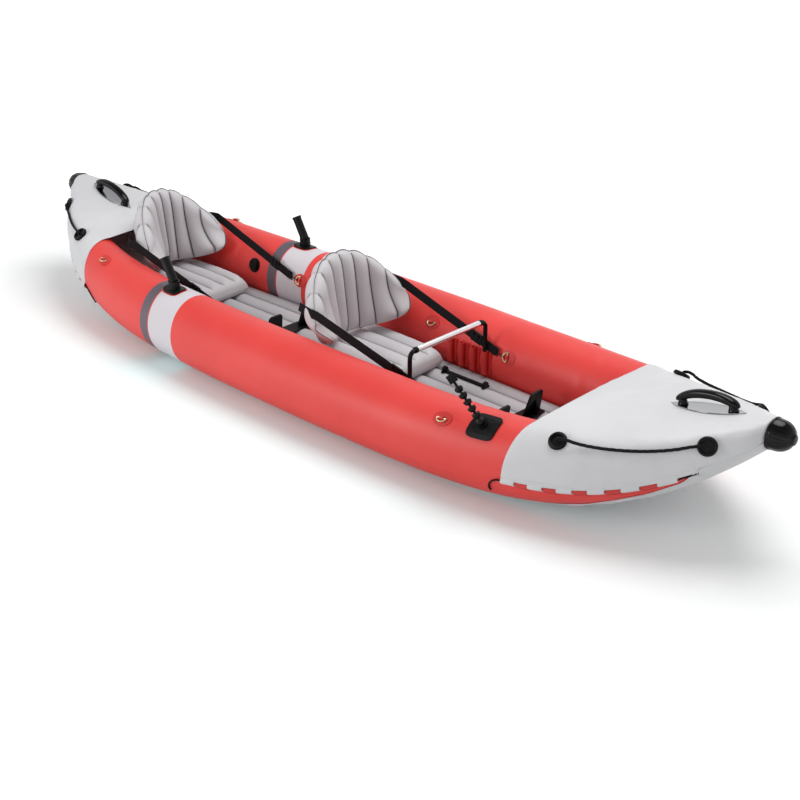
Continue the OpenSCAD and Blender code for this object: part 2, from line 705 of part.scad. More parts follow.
module holder_jaw() {
    color([0.09, 0.09, 0.1]) at_cradle() translate([jaw_open, 0, 0]) {
        translate([-jaw_tail, (cradle_w - jaw_rail_w) / 2, 0])
            cube([jaw_tail + jaw_t, jaw_rail_w, cradle_t + 2 * seat_gap]);
        translate([0, 0, cradle_t + seat_gap]) cube([jaw_t, cradle_w, jaw_depth]);
        translate([-jaw_lip, 0, cradle_t + seat_gap + jaw_depth - 4])
            cube([jaw_t + jaw_lip, cradle_w, 4]);
    }
}

// Seats: a base with lengthwise channels and a wrapped backrest that folds at the crease
seat_rear = 44;
seat_seam = 24;
crease_share = seat_rear / (seat_len + seat_rear);
seat_rows = [0, 0.04, crease_share, 0.24, 0.43, 0.62, 0.84, 0.95, 1];
seat_channel_depth = 0.3;
crease_r = 4;
crease_sink = 3;
seat_low = floor_top + soft_gap;
function seat_half(x) = inner_y(x, tube_z(x)) - seat_side_gap;
function seat_swell(u) = pinch(2 * u - 1, 8);
// The crease bead lies sunk in the base's crests, and the backrest folds about its centre
crease_z = seat_low + seat_seam + crease_r - crease_sink + (seat_thick - seat_seam)
    * seat_swell(crease_share) * channel(2 / (3 * seat_channels) - 1, seat_channels, seat_channel_depth);
module seat_base(x) {
    cols = seat_channels * channel_steps;
    length = seat_len + seat_rear;
    flange = 3;
    z0 = seat_low;
    front_round = 34;
    function point(u, v, z) = let(row_x = x - seat_rear + length * u) [
        row_x - front_round * pow(u, 3) * pow(abs(v), 3),
        min(seat_half(row_x), seat_half(x + seat_len / 2)) * v * (1 - 0.1 * pow(u, 3)), z
    ];
    function top_z(u, v) = z0 + seat_seam + (seat_thick - seat_seam) * seat_swell(u) * pinch(v, 12)
        * channel(v, seat_channels, seat_channel_depth);
    function low_z(u, v) = z0 + (seat_seam - flange) * (1 - pinch(2 * u - 1, 30) * pinch(v, 30));
    vs = [for (j = [0:cols]) 2 * j / cols - 1];
    color([0.78, 0.78, 0.79]) {
        thick_sheet(
            [for (u = seat_rows) [for (v = vs) point(u, v, top_z(u, v))]],
            [for (u = seat_rows) [for (v = vs) point(u, v, low_z(u, v))]]
        );
        translate([x, -seat_half(x) * 0.8, crease_z]) rotate([-90, 0, 0])
            cylinder(r = crease_r, h = 1.6 * seat_half(x));
    }
}
back_rows = [0, 0.07, 0.24, 0.5, 0.76, 0.92, 1];
back_clear = 6;
back_corner = 34;
back_w = 2 * (inner_y(0, tube_z(0)) + back_over);
// Middle of the backrest's thickness, in the crease's frame before the recline
function back_half(x, w) = mix(seat_half(x), back_w / 2, ease(share(w, 0.1, 0.42)));
function back_mid(x, v, w) = [
    back_wrap * pow(abs(v), 2.2),
    v * back_half(x, w),
    mix(back_clear + crease_r + back_corner * pow(abs(v), 4), back_h * (1 - 0.3 * pow(abs(v), 2.6)), w)
];
function back_facing(x, v, w) = let(k = 2.2 * back_wrap * pow(abs(v), 1.2) / back_half(x, w))
    unit([1, -sign(v) * k, 0]);
function back_swell(v, w) = 3 + (back_thick - 3) * pinch(2 * w - 1, 6) * pinch(v, 10)
    * channel(v, back_channels, 0.34);
function back_point(x, v, w, s) = back_mid(x, v, w) + s * back_swell(v, w) / 2 * back_facing(x, v, w);
module at_crease(x) {
    translate([x, 0, crease_z]) rotate([0, -back_recline, 0]) children();
}
module backrest(x) {
    cols = back_channels * channel_steps;
    vs = [for (i = [0:cols]) 2 * i / cols - 1];
    color([0.78, 0.78, 0.79]) at_crease(x) thick_sheet(
        [for (v = vs) [for (w = back_rows) back_point(x, v, w, 1)]],
        [for (v = vs) [for (w = back_rows) back_point(x, v, w, -1)]]
    );
}

// Straps from the backrests' sides to rings on the cockpit walls, each with buckle and hook
strap_share = 0.62;
strap_t = 2;
strap_ring_x = [590, -580];
strap_ring_z = 205;
strap_ring_lean = 75;
// Place of a strap's end from the middle of the backrest's side edge: ahead of it and outboard
strap_clear = [4, 2.8, 0];
buckle_len = 52;
buckle_t = 7;
buckle_at = 112;
hook_gap = 0.6;
hook_wire = 2.6;
hook_stem_d = 5;
hook_reach = 30;
patch_t = 2;
loop_r = 6;
function seat_x(k) = k == 0 ? front_seat_x : rear_seat_x;
function recline_point(p) = [
    p.x * cos(back_recline) - p.z * sin(back_recline), p.y,
    p.x * sin(back_recline) + p.z * cos(back_recline)
];
function strap_from(k) = let(x = seat_x(k)) [x, 0, crease_z]
    + recline_point(back_mid(x, 1, strap_share)) + strap_clear;
// Ring seat on the wall, with the ring's outer end pulled along the strap
function strap_ring_a(k) = inner_angle(strap_ring_x[k], strap_ring_z);
function local_to_skin(x, a, p) = let(m = skin_frame(x, a, soft_gap))
    [for (i = [0:2]) m[i][0] * p.x + m[i][1] * p.y + m[i][2] * p.z + m[i][3]];
function strap_ring_tip(k) = local_to_skin(strap_ring_x[k], strap_ring_a(k),
    (ring_d / 2) * [-sin(strap_ring_lean), 0, cos(strap_ring_lean)] + [0, 0, patch_t + ring_wire / 2 + 1]);
function strap_way(k) = unit(strap_from(k) - strap_ring_tip(k));
function strap_to(k) = strap_ring_tip(k) + hook_reach * strap_way(k);
// Frame at a strap's hook end: local X along the strap to the backrest, local Y across its width
module along_strap(k, d) {
    x = strap_way(k);
    z = unit(cross(x, cross([0, 1, 0], x)));
    y = cross(z, x);
    p = strap_to(k) + d * x;
    multmatrix([[x.x, y.x, z.x, p.x], [x.y, y.y, z.y, p.y], [x.z, y.z, z.z, p.z], [0, 0, 0, 1]]) children();
}
module seat_straps(k) {
    length = norm(strap_from(k) - strap_to(k));
    color([0.06, 0.06, 0.07]) both_sides() along_strap(k, 0)
        translate([0, -strap_w / 2, -strap_t / 2]) cube([length, strap_w, strap_t]);
}
module strap_buckles() {
    frame = 5;
    color([0.08, 0.08, 0.09]) both_sides() for (k = [0, 1]) along_strap(k, buckle_at)
        difference() {
            translate([-buckle_len / 2, -strap_w / 2 - frame, -buckle_t / 2])
                cube([buckle_len, strap_w + 2 * frame, buckle_t]);
            translate([-buckle_len, -strap_w / 2 - seat_gap, -strap_t / 2 - seat_gap])
                cube([2 * buckle_len, strap_w + 2 * seat_gap, strap_t + 2 * seat_gap]);
            for (s = [-1, 1]) translate([s * buckle_len / 4 - 5, -strap_w / 2, -buckle_t])
                cube([10, strap_w, 2 * buckle_t]);
        }
}
// A hook's eye goes round the ring's wire; its stem ends in the bar that the strap is sewn round
module strap_hooks() {
    eye_r = (ring_wire + hook_wire) / 2 + hook_gap;
    bar_x = -hook_stem_d / 2 - seat_gap;
    color([0.12, 0.12, 0.13]) both_sides() for (k = [0, 1]) along_strap(k, 0) {
        translate([-hook_reach, 0, 0]) rotate([90, 0, 0]) rotate_extrude() translate([eye_r, 0])
            circle(d = hook_wire);
        translate([-hook_reach + eye_r, 0, 0]) rotate([0, 90, 0])
            cylinder(d = hook_stem_d, h = hook_reach - eye_r + bar_x);
        translate([bar_x, -strap_w / 2, 0]) rotate([-90, 0, 0]) cylinder(d = hook_stem_d, h = strap_w);
    }
}

// Rings on welded patches: the ring's straight side turns in the patch's loop
function ring_seat_z() = patch_t + ring_wire / 2 + 1;
module ring_wire_shape() {
    rotate([90, 0, 0]) rotate_extrude(angle = 180) translate([ring_d / 2, 0]) circle(d = ring_wire);
    translate([-ring_d / 2, 0, 0]) rotate([0, 90, 0]) cylinder(d = ring_wire, h = ring_d);
    for (s = [-1, 1]) translate([s * ring_d / 2, 0, 0]) sphere(d = ring_wire);
}
module patch_loop() {
    length = ring_d * 0.4;
    difference() {
        intersection() {
            translate([-length / 2, 0, ring_seat_z()]) rotate([0, 90, 0]) cylinder(r = loop_r, h = length);
            translate([-length, -loop_r, patch_t / 2]) cube([2 * length, 2 * loop_r, 2 * loop_r]);
        }
        translate([-length, 0, ring_seat_z()]) rotate([0, 90, 0])
            cylinder(d = ring_wire + 2 * turn_gap, h = 2 * length);
    }
}
// Tie rings ahead, aft and on the cockpit walls; each lies over on the chamber, downwards
inner_ring_x = 183;
inner_ring_z = 229;
holder_to_ring = 160;
tie_ring_x = [holder_x - holder_to_ring, -1168, inner_ring_x];
tie_ring_a = [50, 62, inner_angle(inner_ring_x, inner_ring_z)];
tie_ring_lean = [62, 62, -62];
patch_len = 74;
patch_w = 58;
module ring_patches() {
    color([0.8, 0.2, 0.17]) both_sides() {
        for (k = [0:len(tie_ring_x) - 1]) {
            skin_pad(tie_ring_x[k], tie_ring_a[k], patch_len, patch_w, soft_gap, patch_t, 2, 16, 2);
            at_skin(tie_ring_x[k], tie_ring_a[k], soft_gap) patch_loop();
        }
        for (k = [0, 1]) {
            skin_pad(strap_ring_x[k], strap_ring_a(k), patch_len, patch_w, soft_gap, patch_t, 2, 16, 2);
            at_skin(strap_ring_x[k], strap_ring_a(k), soft_gap) rotate([0, 0, 90]) patch_loop();
        }
    }
}
module tie_ring(k, side) {
    color([0.78, 0.76, 0.7]) on_side(side) at_skin(tie_ring_x[k], tie_ring_a[k], soft_gap)
        translate([0, 0, ring_seat_z()]) rotate([-tie_ring_lean[k], 0, 0]) ring_wire_shape();
}
module strap_rings() {
    color([0.78, 0.76, 0.7]) both_sides() for (k = [0, 1])
        at_skin(strap_ring_x[k], strap_ring_a(k), soft_gap) translate([0, 0, ring_seat_z()])
            rotate([0, -strap_ring_lean, 0]) rotate([0, 0, 90]) ring_wire_shape();
}

// Foot braces stand on the floor; slim rails with upright lugs lie ahead of the front seat
brace_pad_w = 92;
brace_pad_y = 92;
brace_t = 8;
brace_lean = 14;
brace_plate_len = 70;
brace_plate_t = 4;
rail_y = 137;
rail_x0 = 345;
rail_len = 220;
rail_w = 12;
rail_h = 10;
lug_w = 34;
lug_h = 26;
module foot_rails() {
    color([0.07, 0.07, 0.08]) both_sides() translate([rail_x0, rail_y, floor_top + soft_gap]) {
        translate([0, -rail_w / 2, 0]) cube([rail_len, rail_w, rail_h]);
        for (x = [0, rail_len - rail_w]) translate([x, 0, 0]) {
            translate([0, -lug_w / 2, 0]) cube([rail_w, lug_w, rail_h - 2]);
            translate([rail_w, 0, 0]) rotate([0, -90, 0]) linear_extrude(rail_w) union() {
                translate([0, -rail_w / 2]) square([lug_h - rail_w, rail_w]);
                translate([lug_h - rail_w, 0]) circle(r = rail_w);
            }
        }
    }
}
module foot_brace(x) {
    r = 14;
    top_w = brace_pad_w * 0.74;
    width = 2 * brace_pad_y + brace_pad_w;
    color([0.07, 0.07, 0.08]) translate([x, 0, floor_top + soft_gap]) {
        linear_extrude(brace_plate_t) union() {
            square([brace_plate_len - 2 * r, width], center = true);
            square([brace_plate_len, width - 2 * r], center = true);
            for (s = [-1, 1], t = [-1, 1])
                translate([s * (brace_plate_len / 2 - r), t * (width / 2 - r)]) circle(r = r);
        }
        for (s = [-1, 1]) translate([0, s * brace_pad_y, brace_plate_t / 2]) {
            rotate([0, brace_lean, 0]) translate([brace_t / 2, 0, 0]) rotate([0, -90, 0])
                linear_extrude(brace_t) union() {
                    polygon([[0, -brace_pad_w / 2], [0, brace_pad_w / 2],
                        [brace_h - r, top_w / 2], [brace_h - r, -top_w / 2]]);
                    translate([brace_h - r, -top_w / 2 + r]) square([r, top_w - 2 * r]);
                    for (t = [-1, 1]) translate([brace_h - r, t * (top_w / 2 - r)]) circle(r = r);
                }
            // Rib behind the pad
            translate([0, 2, 0]) rotate([90, 0, 0]) linear_extrude(4)
                polygon([[0, 0], [brace_plate_len / 2 - 3, 0], [brace_h * 0.2, brace_h * 0.62]]);
        }
    }
}

// Air valves on the cockpit walls
valve_x = -868;
valve_z = 205;
valve_lip = 6;
cap_r = 21;
cap_h = 9;
module at_valve(lift) { at_skin(valve_x, inner_angle(valve_x, valve_z), lift) children(); }
module valve_bodies() {
    seat_r = cap_r + 3;
    color([0.1, 0.1, 0.11]) both_sides() {
        skin_pad(valve_x, inner_angle(valve_x, valve_z), valve_d, valve_d, soft_gap, 3, 2, 20);
        at_valve(soft_gap) difference() {
            translate([0, 0, 1]) cylinder(r = seat_r, h = valve_lip + 2);
            translate([0, 0, valve_lip]) cylinder(r = cap_r + turn_gap, h = valve_lip);
            translate([0, 0, 3]) cylinder(r = cap_r - 6, h = valve_lip);
        }
    }
}
module valve_cap(side) {
    grip_w = 6;
    color([0.06, 0.06, 0.07]) on_side(side) at_valve(soft_gap) translate([0, 0, valve_lip + seat_gap]) {
        cylinder(r = cap_r, h = cap_h - 4);
        translate([-cap_r * 0.8, -grip_w / 2, 0]) cube([cap_r * 1.6, grip_w, cap_h]);
        rotate_extrude() translate([cap_r - 3, cap_h - 4]) circle(r = 1.6);
    }
}

// Skeg mount under the stern: a plate with a slot for a slide-in fin
skeg_x = -1240;
skeg_len = 150;
skeg_w = 46;
skeg_h = 16;
skeg_slot = 9;
function keel_z(x) = tube_low(x) - sheet_gap - bottom_thick - ground_cut;
// Underside of the bottom sheet, which runs straight from row to row
function sheet_low(x) = let(
    i = max([for (k = [0:sheet_rows - 1]) if (sheet_x(k) <= x) k]),
    a = sheet_x(i),
    b = sheet_x(i + 1)
) mix(keel_z(a), keel_z(b), (x - a) / (b - a));
module skeg_mount() {
    pitch = (sheet_low(skeg_x + skeg_len / 2) - sheet_low(skeg_x - skeg_len / 2)) / skeg_len;
    seat_z = min([for (d = [-skeg_len / 2:skeg_len / 20:skeg_len / 2]) sheet_low(skeg_x + d) - pitch * d]);
    color([0.12, 0.12, 0.13]) translate([skeg_x, 0, seat_z - seat_gap]) rotate([0, -atan(pitch), 0])
        difference() {
            translate([-skeg_len / 2, -skeg_w / 2, -skeg_h]) cube([skeg_len, skeg_w, skeg_h]);
            translate([-skeg_len, -skeg_slot / 2, -skeg_h - 1]) cube([2 * skeg_len, skeg_slot, skeg_h]);
            translate([-skeg_len, -skeg_w / 4, -skeg_h + 4]) cube([2 * skeg_len, skeg_w / 2, 7]);
        }
}

side_chamber(1);  // port_side_chamber
side_chamber(-1);  // starboard_side_chamber
hull_bottom();
inflatable_floor();
deck_cover(1);  // bow_deck_cover
deck_cover(-1);  // stern_deck_cover
cover_hems(1);  // bow_cover_hems
cover_hems(-1);  // stern_cover_hems
lacing_tabs(1);  // bow_lacing_tabs
lacing_tabs(-1);  // stern_lacing_tabs
lacing_cord(1, 1);  // bow_port_lacing_cord
lacing_cord(1, -1);  // bow_starboard_lacing_cord
lacing_cord(-1, 1);  // stern_port_lacing_cord
lacing_cord(-1, -1);  // stern_starboard_lacing_cord
nose_cap(1);  // bow_nose_cap
nose_cap(-1);  // stern_nose_cap
handle_plates();
handle_grips();
rope_eyelets();
grab_rope(1, 1);  // bow_port_grab_rope
grab_rope(1, -1);  // bow_starboard_grab_rope
grab_rope(-1, 1);  // stern_port_grab_rope
grab_rope(-1, -1);  // stern_starboard_grab_rope
rod_holder_bases();
rod_tube(1);  // port_rod_tube
rod_tube(-1);  // starboard_rod_tube
bar_sleeves();
mounting_bar();
bar_elbows();
holder_base();
arm_link(1);  // arm_link_1
arm_link(2);  // arm_link_2
arm_link(3);  // arm_link_3
arm_link(4);  // arm_link_4
arm_link(5);  // arm_link_5
holder_cradle();
holder_jaw();
seat_base(front_seat_x);  // front_seat_base
seat_base(rear_seat_x);  // rear_seat_base
backrest(front_seat_x);  // front_backrest
backrest(rear_seat_x);  // rear_backrest
seat_straps(0);  // front_straps
seat_straps(1);  // rear_straps
strap_buckles();
strap_hooks();
strap_rings();
ring_patches();
tie_ring(0, 1);  // forward_port_ring
tie_ring(0, -1);  // forward_starboard_ring
tie_ring(1, 1);  // aft_port_ring
tie_ring(1, -1);  // aft_starboard_ring
tie_ring(2, 1);  // inner_port_ring
tie_ring(2, -1);  // inner_starboard_ring
foot_rails();
foot_brace(front_brace_x);  // front_foot_brace
foot_brace(rear_brace_x);  // rear_foot_brace
valve_bodies();
valve_cap(1);  // port_valve_cap
valve_cap(-1);  // starboard_valve_cap
skeg_mount();
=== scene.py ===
"""Looks for the inflatable tandem kayak: skins, covers, cushions, cords and materials on the CAD frame."""

import json
import math

import bpy
import numpy as np
from mathutils import Matrix, Vector


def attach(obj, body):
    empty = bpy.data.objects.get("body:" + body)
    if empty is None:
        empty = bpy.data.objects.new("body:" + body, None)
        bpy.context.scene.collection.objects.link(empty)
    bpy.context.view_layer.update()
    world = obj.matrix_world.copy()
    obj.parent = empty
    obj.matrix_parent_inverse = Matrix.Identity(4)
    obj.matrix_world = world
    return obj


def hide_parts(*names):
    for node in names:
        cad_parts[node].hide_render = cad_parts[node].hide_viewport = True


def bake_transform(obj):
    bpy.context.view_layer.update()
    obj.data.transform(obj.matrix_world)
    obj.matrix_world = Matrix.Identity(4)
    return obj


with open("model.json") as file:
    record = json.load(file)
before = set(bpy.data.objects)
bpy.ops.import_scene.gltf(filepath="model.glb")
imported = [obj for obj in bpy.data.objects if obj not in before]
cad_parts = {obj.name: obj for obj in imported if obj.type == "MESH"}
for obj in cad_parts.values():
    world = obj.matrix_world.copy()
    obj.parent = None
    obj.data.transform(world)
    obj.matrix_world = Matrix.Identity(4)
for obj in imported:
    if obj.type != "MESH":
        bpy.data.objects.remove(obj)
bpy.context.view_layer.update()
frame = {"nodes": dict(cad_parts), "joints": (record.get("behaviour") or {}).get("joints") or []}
nodes = frame["nodes"]

# Hull numbers, in metres and degrees, the same as the part's source
HULL_LENGTH = 3.84
HULL_BEAM = 0.99
TUBE_WIDTH = 0.27
TUBE_TOP_MID, TUBE_TOP_END = 0.300, 0.462
TUBE_LOW_MID, TUBE_LOW_END = 0.0032, 0.366
NOSE_HALF = 0.050
NOSE_TUBE_WIDTH = 0.090
NOSE_CAP_LEN = 0.080
TUBE_END = HULL_LENGTH / 2 - NOSE_CAP_LEN
KEEL_GAP = 0.0004
SHEET_GAP = 0.0012
BOTTOM_THICK = 0.002
SOFT_GAP = 0.0008
COVER_THICK = 0.0015
COVER_X = {1: 1.150, -1: 1.310}
EDGE_CROWN = 0.008
CORNER_SWEEP = 0.030
TIP_X = TUBE_END - 0.140
LACING_A0, LACING_A1 = -14.0, -31.0
SEAM_A0, SEAM_A1 = -80.0, -46.0
LACING_D = 0.006
HEM_TABS = 6
HEM_INSET = 0.004
ROPE_D = 0.011
ROPE_A = (57.0, 32.0)
ROPE_FROM_EDGE, ROPE_PAST_TIP = 0.130, 0.013
FIT_GAP = 0.0004
FLOOR_TOP = 0.0978
FLOOR_HALF_LEN = 1.250
FLOOR_CHANNELS = 6
FLOOR_SIDE_GAP, FLOOR_SEAM_SHARE = 0.008, 0.46
SEAT_X = {"front": -0.070, "rear": -1.220}
SEAT_LEN, SEAT_REAR = 0.380, 0.044
SEAT_LOW = FLOOR_TOP + SOFT_GAP
SEAT_THICK, SEAT_SEAM = 0.078, 0.024
SEAT_SIDE_GAP = 0.026
SEAT_CHANNELS = 5

# The backrests' soft form, which is plainer in the part's source
BACK_H, BACK_THICK, BACK_WRAP = 0.345, 0.092, 0.126
BACK_OVER, BACK_LOW_GAP, BACK_CORNER, BACK_FALL, BACK_GIVE = 0.034, 0.004, 0.046, 0.58, 1.15
BACK_CHANNELS = 8
BACK_RECLINE = math.radians(7)
CREASE_Z = next(j for j in frame["joints"] if j["name"] == "front_backrest_fold")["pos_m"][2]

# Port straps, on the straight lines of the part's source
STRAP_W, STRAP_T, STRAP_FACE = 0.034, 0.002, (0, 0.3, 1)
STRAP_FROM = {"front": (0.0328, 0.2388, 0.3531), "rear": (-1.1172, 0.2388, 0.3531)}
STRAP_TO = {"front": (0.5434, 0.2178, 0.2162), "rear": (-0.6260, 0.2173, 0.2167)}


def share(x, low, high):
    return np.clip((x - low) / (high - low), 0, 1)


def ease(t):
    return t * t * (3 - 2 * t)


def mix(a, b, t):
    return a + (b - a) * t


# Hull lines
def reach(x):
    return np.minimum(1, np.abs(x) / TUBE_END)


def half_beam(x):
    s = reach(x)
    return NOSE_HALF + (HULL_BEAM / 2 - NOSE_HALF) * (1 - 0.18 * s**2 - 0.82 * s**5)


def tube_w(x):
    return mix(TUBE_WIDTH, NOSE_TUBE_WIDTH, reach(x) ** 3.8)


def tube_top(x):
    return mix(TUBE_TOP_MID, TUBE_TOP_END, reach(x) ** 4.6)


def tube_low(x):
    return mix(TUBE_LOW_MID, TUBE_LOW_END, reach(x) ** 4.9)


def tube_y(x):
    return half_beam(x) - tube_w(x) / 2


def tube_z(x):
    return (tube_top(x) + tube_low(x)) / 2


def tube_h(x):
    return tube_top(x) - tube_low(x)


def skin(x, a, lift=0.0):
    """Points on the port chamber's skin: angle 0 outboard, 90 on top, 180 on the cockpit side."""
    x, a, lift = np.broadcast_arrays(np.asarray(x, float), np.asarray(a, float), np.asarray(lift, float))
    c, s = np.cos(np.radians(a)), np.sin(np.radians(a))
    y = np.maximum(KEEL_GAP, tube_y(x) + (tube_w(x) / 2 + lift) * c)
    z = tube_z(x) + (tube_h(x) / 2 + lift) * s
    return np.stack([x, y, z], -1)


def inner_y(x, z):
    r = np.clip((z - tube_z(x)) / (tube_h(x) / 2), -1, 1)
    return tube_y(x) - tube_w(x) / 2 * np.sqrt(1 - r**2)


def arc(x, d):
    """Degrees of angle for a distance along the skin."""
    return np.degrees(d / (tube_h(x) / 2))


def mirror_y(p):
    return np.asarray(p) * np.array([1, -1, 1.0])


# Mesh helpers
def mesh_object(name, points, faces, material, body="hull", smooth=True):
    mesh = bpy.data.meshes.new(name)
    mesh.from_pydata([tuple(p) for p in np.asarray(points, float)], [], [tuple(map(int, f)) for f in faces])
    mesh.validate()
    mesh.materials.append(material)
    mesh.polygons.foreach_set("use_smooth", [smooth] * len(mesh.polygons))
    obj = bpy.data.objects.new(name, mesh)
    bpy.context.collection.objects.link(obj)
    if body:
        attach(obj, body)
    return obj


def grid_faces(rows, cols, wrap=False, start=0, flip=False):
    """Quads over a grid of points, rows by columns; wrap joins the last column to the first."""
    i, j = np.meshgrid(np.arange(rows - 1), np.arange(cols if wrap else cols - 1), indexing="ij")
    k = (j + 1) % cols
    quads = np.stack([i * cols + j, i * cols + k, (i + 1) * cols + k, (i + 1) * cols + j], -1).reshape(-1, 4)
    if flip:
        quads = quads[:, ::-1]
    return (quads + start).tolist()


def flipped(faces):
    return [f[::-1] for f in faces]


def capped_rings(rings, flip=False):
    """Points and faces of a solid skinned over closed rings, flat at both ends."""
    count, sides = rings.shape[:2]
    faces = grid_faces(count, sides, wrap=True)
    faces.append(list(range(sides - 1, -1, -1)))
    faces.append([(count - 1) * sides + j for j in range(sides)])
    return rings.reshape(-1, 3), flipped(faces) if flip else faces


def run_length(path):
    """Distance along a path at each of its points."""
    return np.concatenate([[0], np.cumsum(np.linalg.norm(np.diff(path, axis=0), axis=1))])


def directions(path):
    t = np.gradient(path, axis=0)
    return t / np.linalg.norm(t, axis=1, keepdims=True)


def squared(c, power):
    """A sine or cosine bent so that a circle drawn with it turns squarer, or rounder above 1."""
    return np.sign(c) * np.abs(c) ** power


def closed_sheet(top, low):
    """Points and faces of a closed solid between two grids of points."""
    rows, cols = top.shape[:2]
    n = rows * cols
    points = np.concatenate([top.reshape(-1, 3), low.reshape(-1, 3)])
    faces = grid_faces(rows, cols, flip=True) + grid_faces(rows, cols, start=n)
    rim = (
        [j for j in range(cols)]
        + [i * cols + cols - 1 for i in range(1, rows)]
        + [(rows - 1) * cols + j for j in range(cols - 2, -1, -1)]
        + [i * cols for i in range(rows - 2, 0, -1)]
    )
    faces += [(a, b, n + b, n + a) for a, b in zip(rim, rim[1:] + rim[:1])]
    return points, faces


def mark_creases(obj, *grids):
    """Store how near each point is to a weld line, for the material's painted shade along the welded grooves.
    """
    values = np.concatenate([np.ravel(g) for g in grids]).astype(np.float32)
    obj.data.attributes.new("crease", "FLOAT", "POINT").data.foreach_set("value", values)


def edge_material(obj, shape, material):
    """Give the outer strip of both grids of a closed sheet, and its rim, a second material."""
    rows, cols = shape[0] - 1, shape[1] - 1
    outer = np.ones((rows, cols), int)
    outer[1:-1, 1:-1] = 0
    index = np.concatenate([outer.ravel(), outer.ravel(), np.ones(2 * (rows + cols), int)])
    obj.data.materials.append(material)
    obj.data.polygons.foreach_set("material_index", index[: len(obj.data.polygons)])


def joined(parts):
    """One list of points and faces from several."""
    points, faces, start = [], [], 0
    for p, f in parts:
        points.append(np.asarray(p, float))
        faces += [[k + start for k in face] for face in f]
        start += len(p)
    return np.concatenate(points), faces


def grid_normals(p):
    n = np.cross(np.gradient(p, axis=0), np.gradient(p, axis=1))
    return n / np.maximum(np.linalg.norm(n, axis=-1, keepdims=True), 1e-12)


def both_sides(points, faces):
    """A port piece and its mirror image as one mesh."""
    return joined([(points, faces), (mirror_y(points), flipped(faces))])


def smooth_path(route, step):
    """Evenly spaced points on a smooth curve through the route's points."""
    p = np.asarray(route, float)
    p = np.concatenate([[2 * p[0] - p[1]], p, [2 * p[-1] - p[-2]]])
    out = []
    for a, b, c, d in zip(p[:-3], p[1:-2], p[2:-1], p[3:]):
        t = np.linspace(0, 1, 24, endpoint=False)[:, None]
        bend = (2 * a - 5 * b + 4 * c - d) * t**2 + (3 * b - a - 3 * c + d) * t**3
        out.append(0.5 * (2 * b + (c - a) * t + bend))
    p = np.concatenate(out + [p[-2:-1]])
    s = run_length(p)
    at = np.linspace(0, s[-1], max(4, int(s[-1] / step)))
    return np.stack([np.interp(at, s, p[:, k]) for k in range(3)], -1), s[-1]


def tube_frames(path):
    """Two unit directions across a path at each point, turning as little as possible."""
    t = directions(path)
    u = np.cross(t[0], [0.0, 1.0, 0.0])
    us = []
    for d in t:
        u = u - d * np.dot(u, d)
        u = u / np.linalg.norm(u)
        us.append(u)
    us = np.array(us)
    return us, np.cross(t, us)


def braided_tube(path, d, sides=24, lay=2.2, depth=0.09, ends=1.0):
    """A tube whose skin is raised into crossing strands, with rounded ends."""
    u, v = tube_frames(path)
    s = run_length(path)
    f = np.linspace(0, 2 * np.pi, sides, endpoint=False)
    k = 2 * np.pi / (lay * d)
    one = np.sin(3 * f[None] + k * s[:, None])
    two = np.sin(3 * f[None] - k * s[:, None])
    r = d / 2 * (1 - depth + depth * np.maximum(one, two))
    from_end = np.minimum(s, s[-1] - s)[:, None] / (d / 2)
    r = r * np.where(from_end < ends, np.sqrt(np.clip(1 - (1 - from_end / ends) ** 2, 0.02, 1)), 1)
    out = np.cos(f)[None, :, None] * u[:, None] + np.sin(f)[None, :, None] * v[:, None]
    rings = path[:, None] + r[..., None] * out
    return capped_rings(rings)


def turned(profile, sides=64, start=(0, 0, 0), axes=((1, 0, 0), (0, 1, 0), (0, 0, 1)), ripple=None):
    """A solid of revolution from (radius, height) pairs; ripple(angle, height) scales the radius."""
    f = np.linspace(0, 2 * np.pi, sides, endpoint=False)
    r = np.array([p[0] for p in profile])[:, None]
    h = np.array([p[1] for p in profile])[:, None]
    r = r * (ripple(f[None], h) if ripple else 1) + 0 * f[None]
    x, y, z = (np.asarray(a, float) for a in axes)
    p = (r * np.cos(f))[..., None] * x + (r * np.sin(f))[..., None] * y + (h + 0 * f)[..., None] * z
    return capped_rings(p + np.asarray(start, float))


# Materials
def linear(rgb):
    """Linear colour from 0 to 255 display values."""
    c = np.asarray(rgb, float) / 255
    return tuple(np.where(c <= 0.04045, c / 12.92, ((c + 0.055) / 1.055) ** 2.4)) + (1.0,)


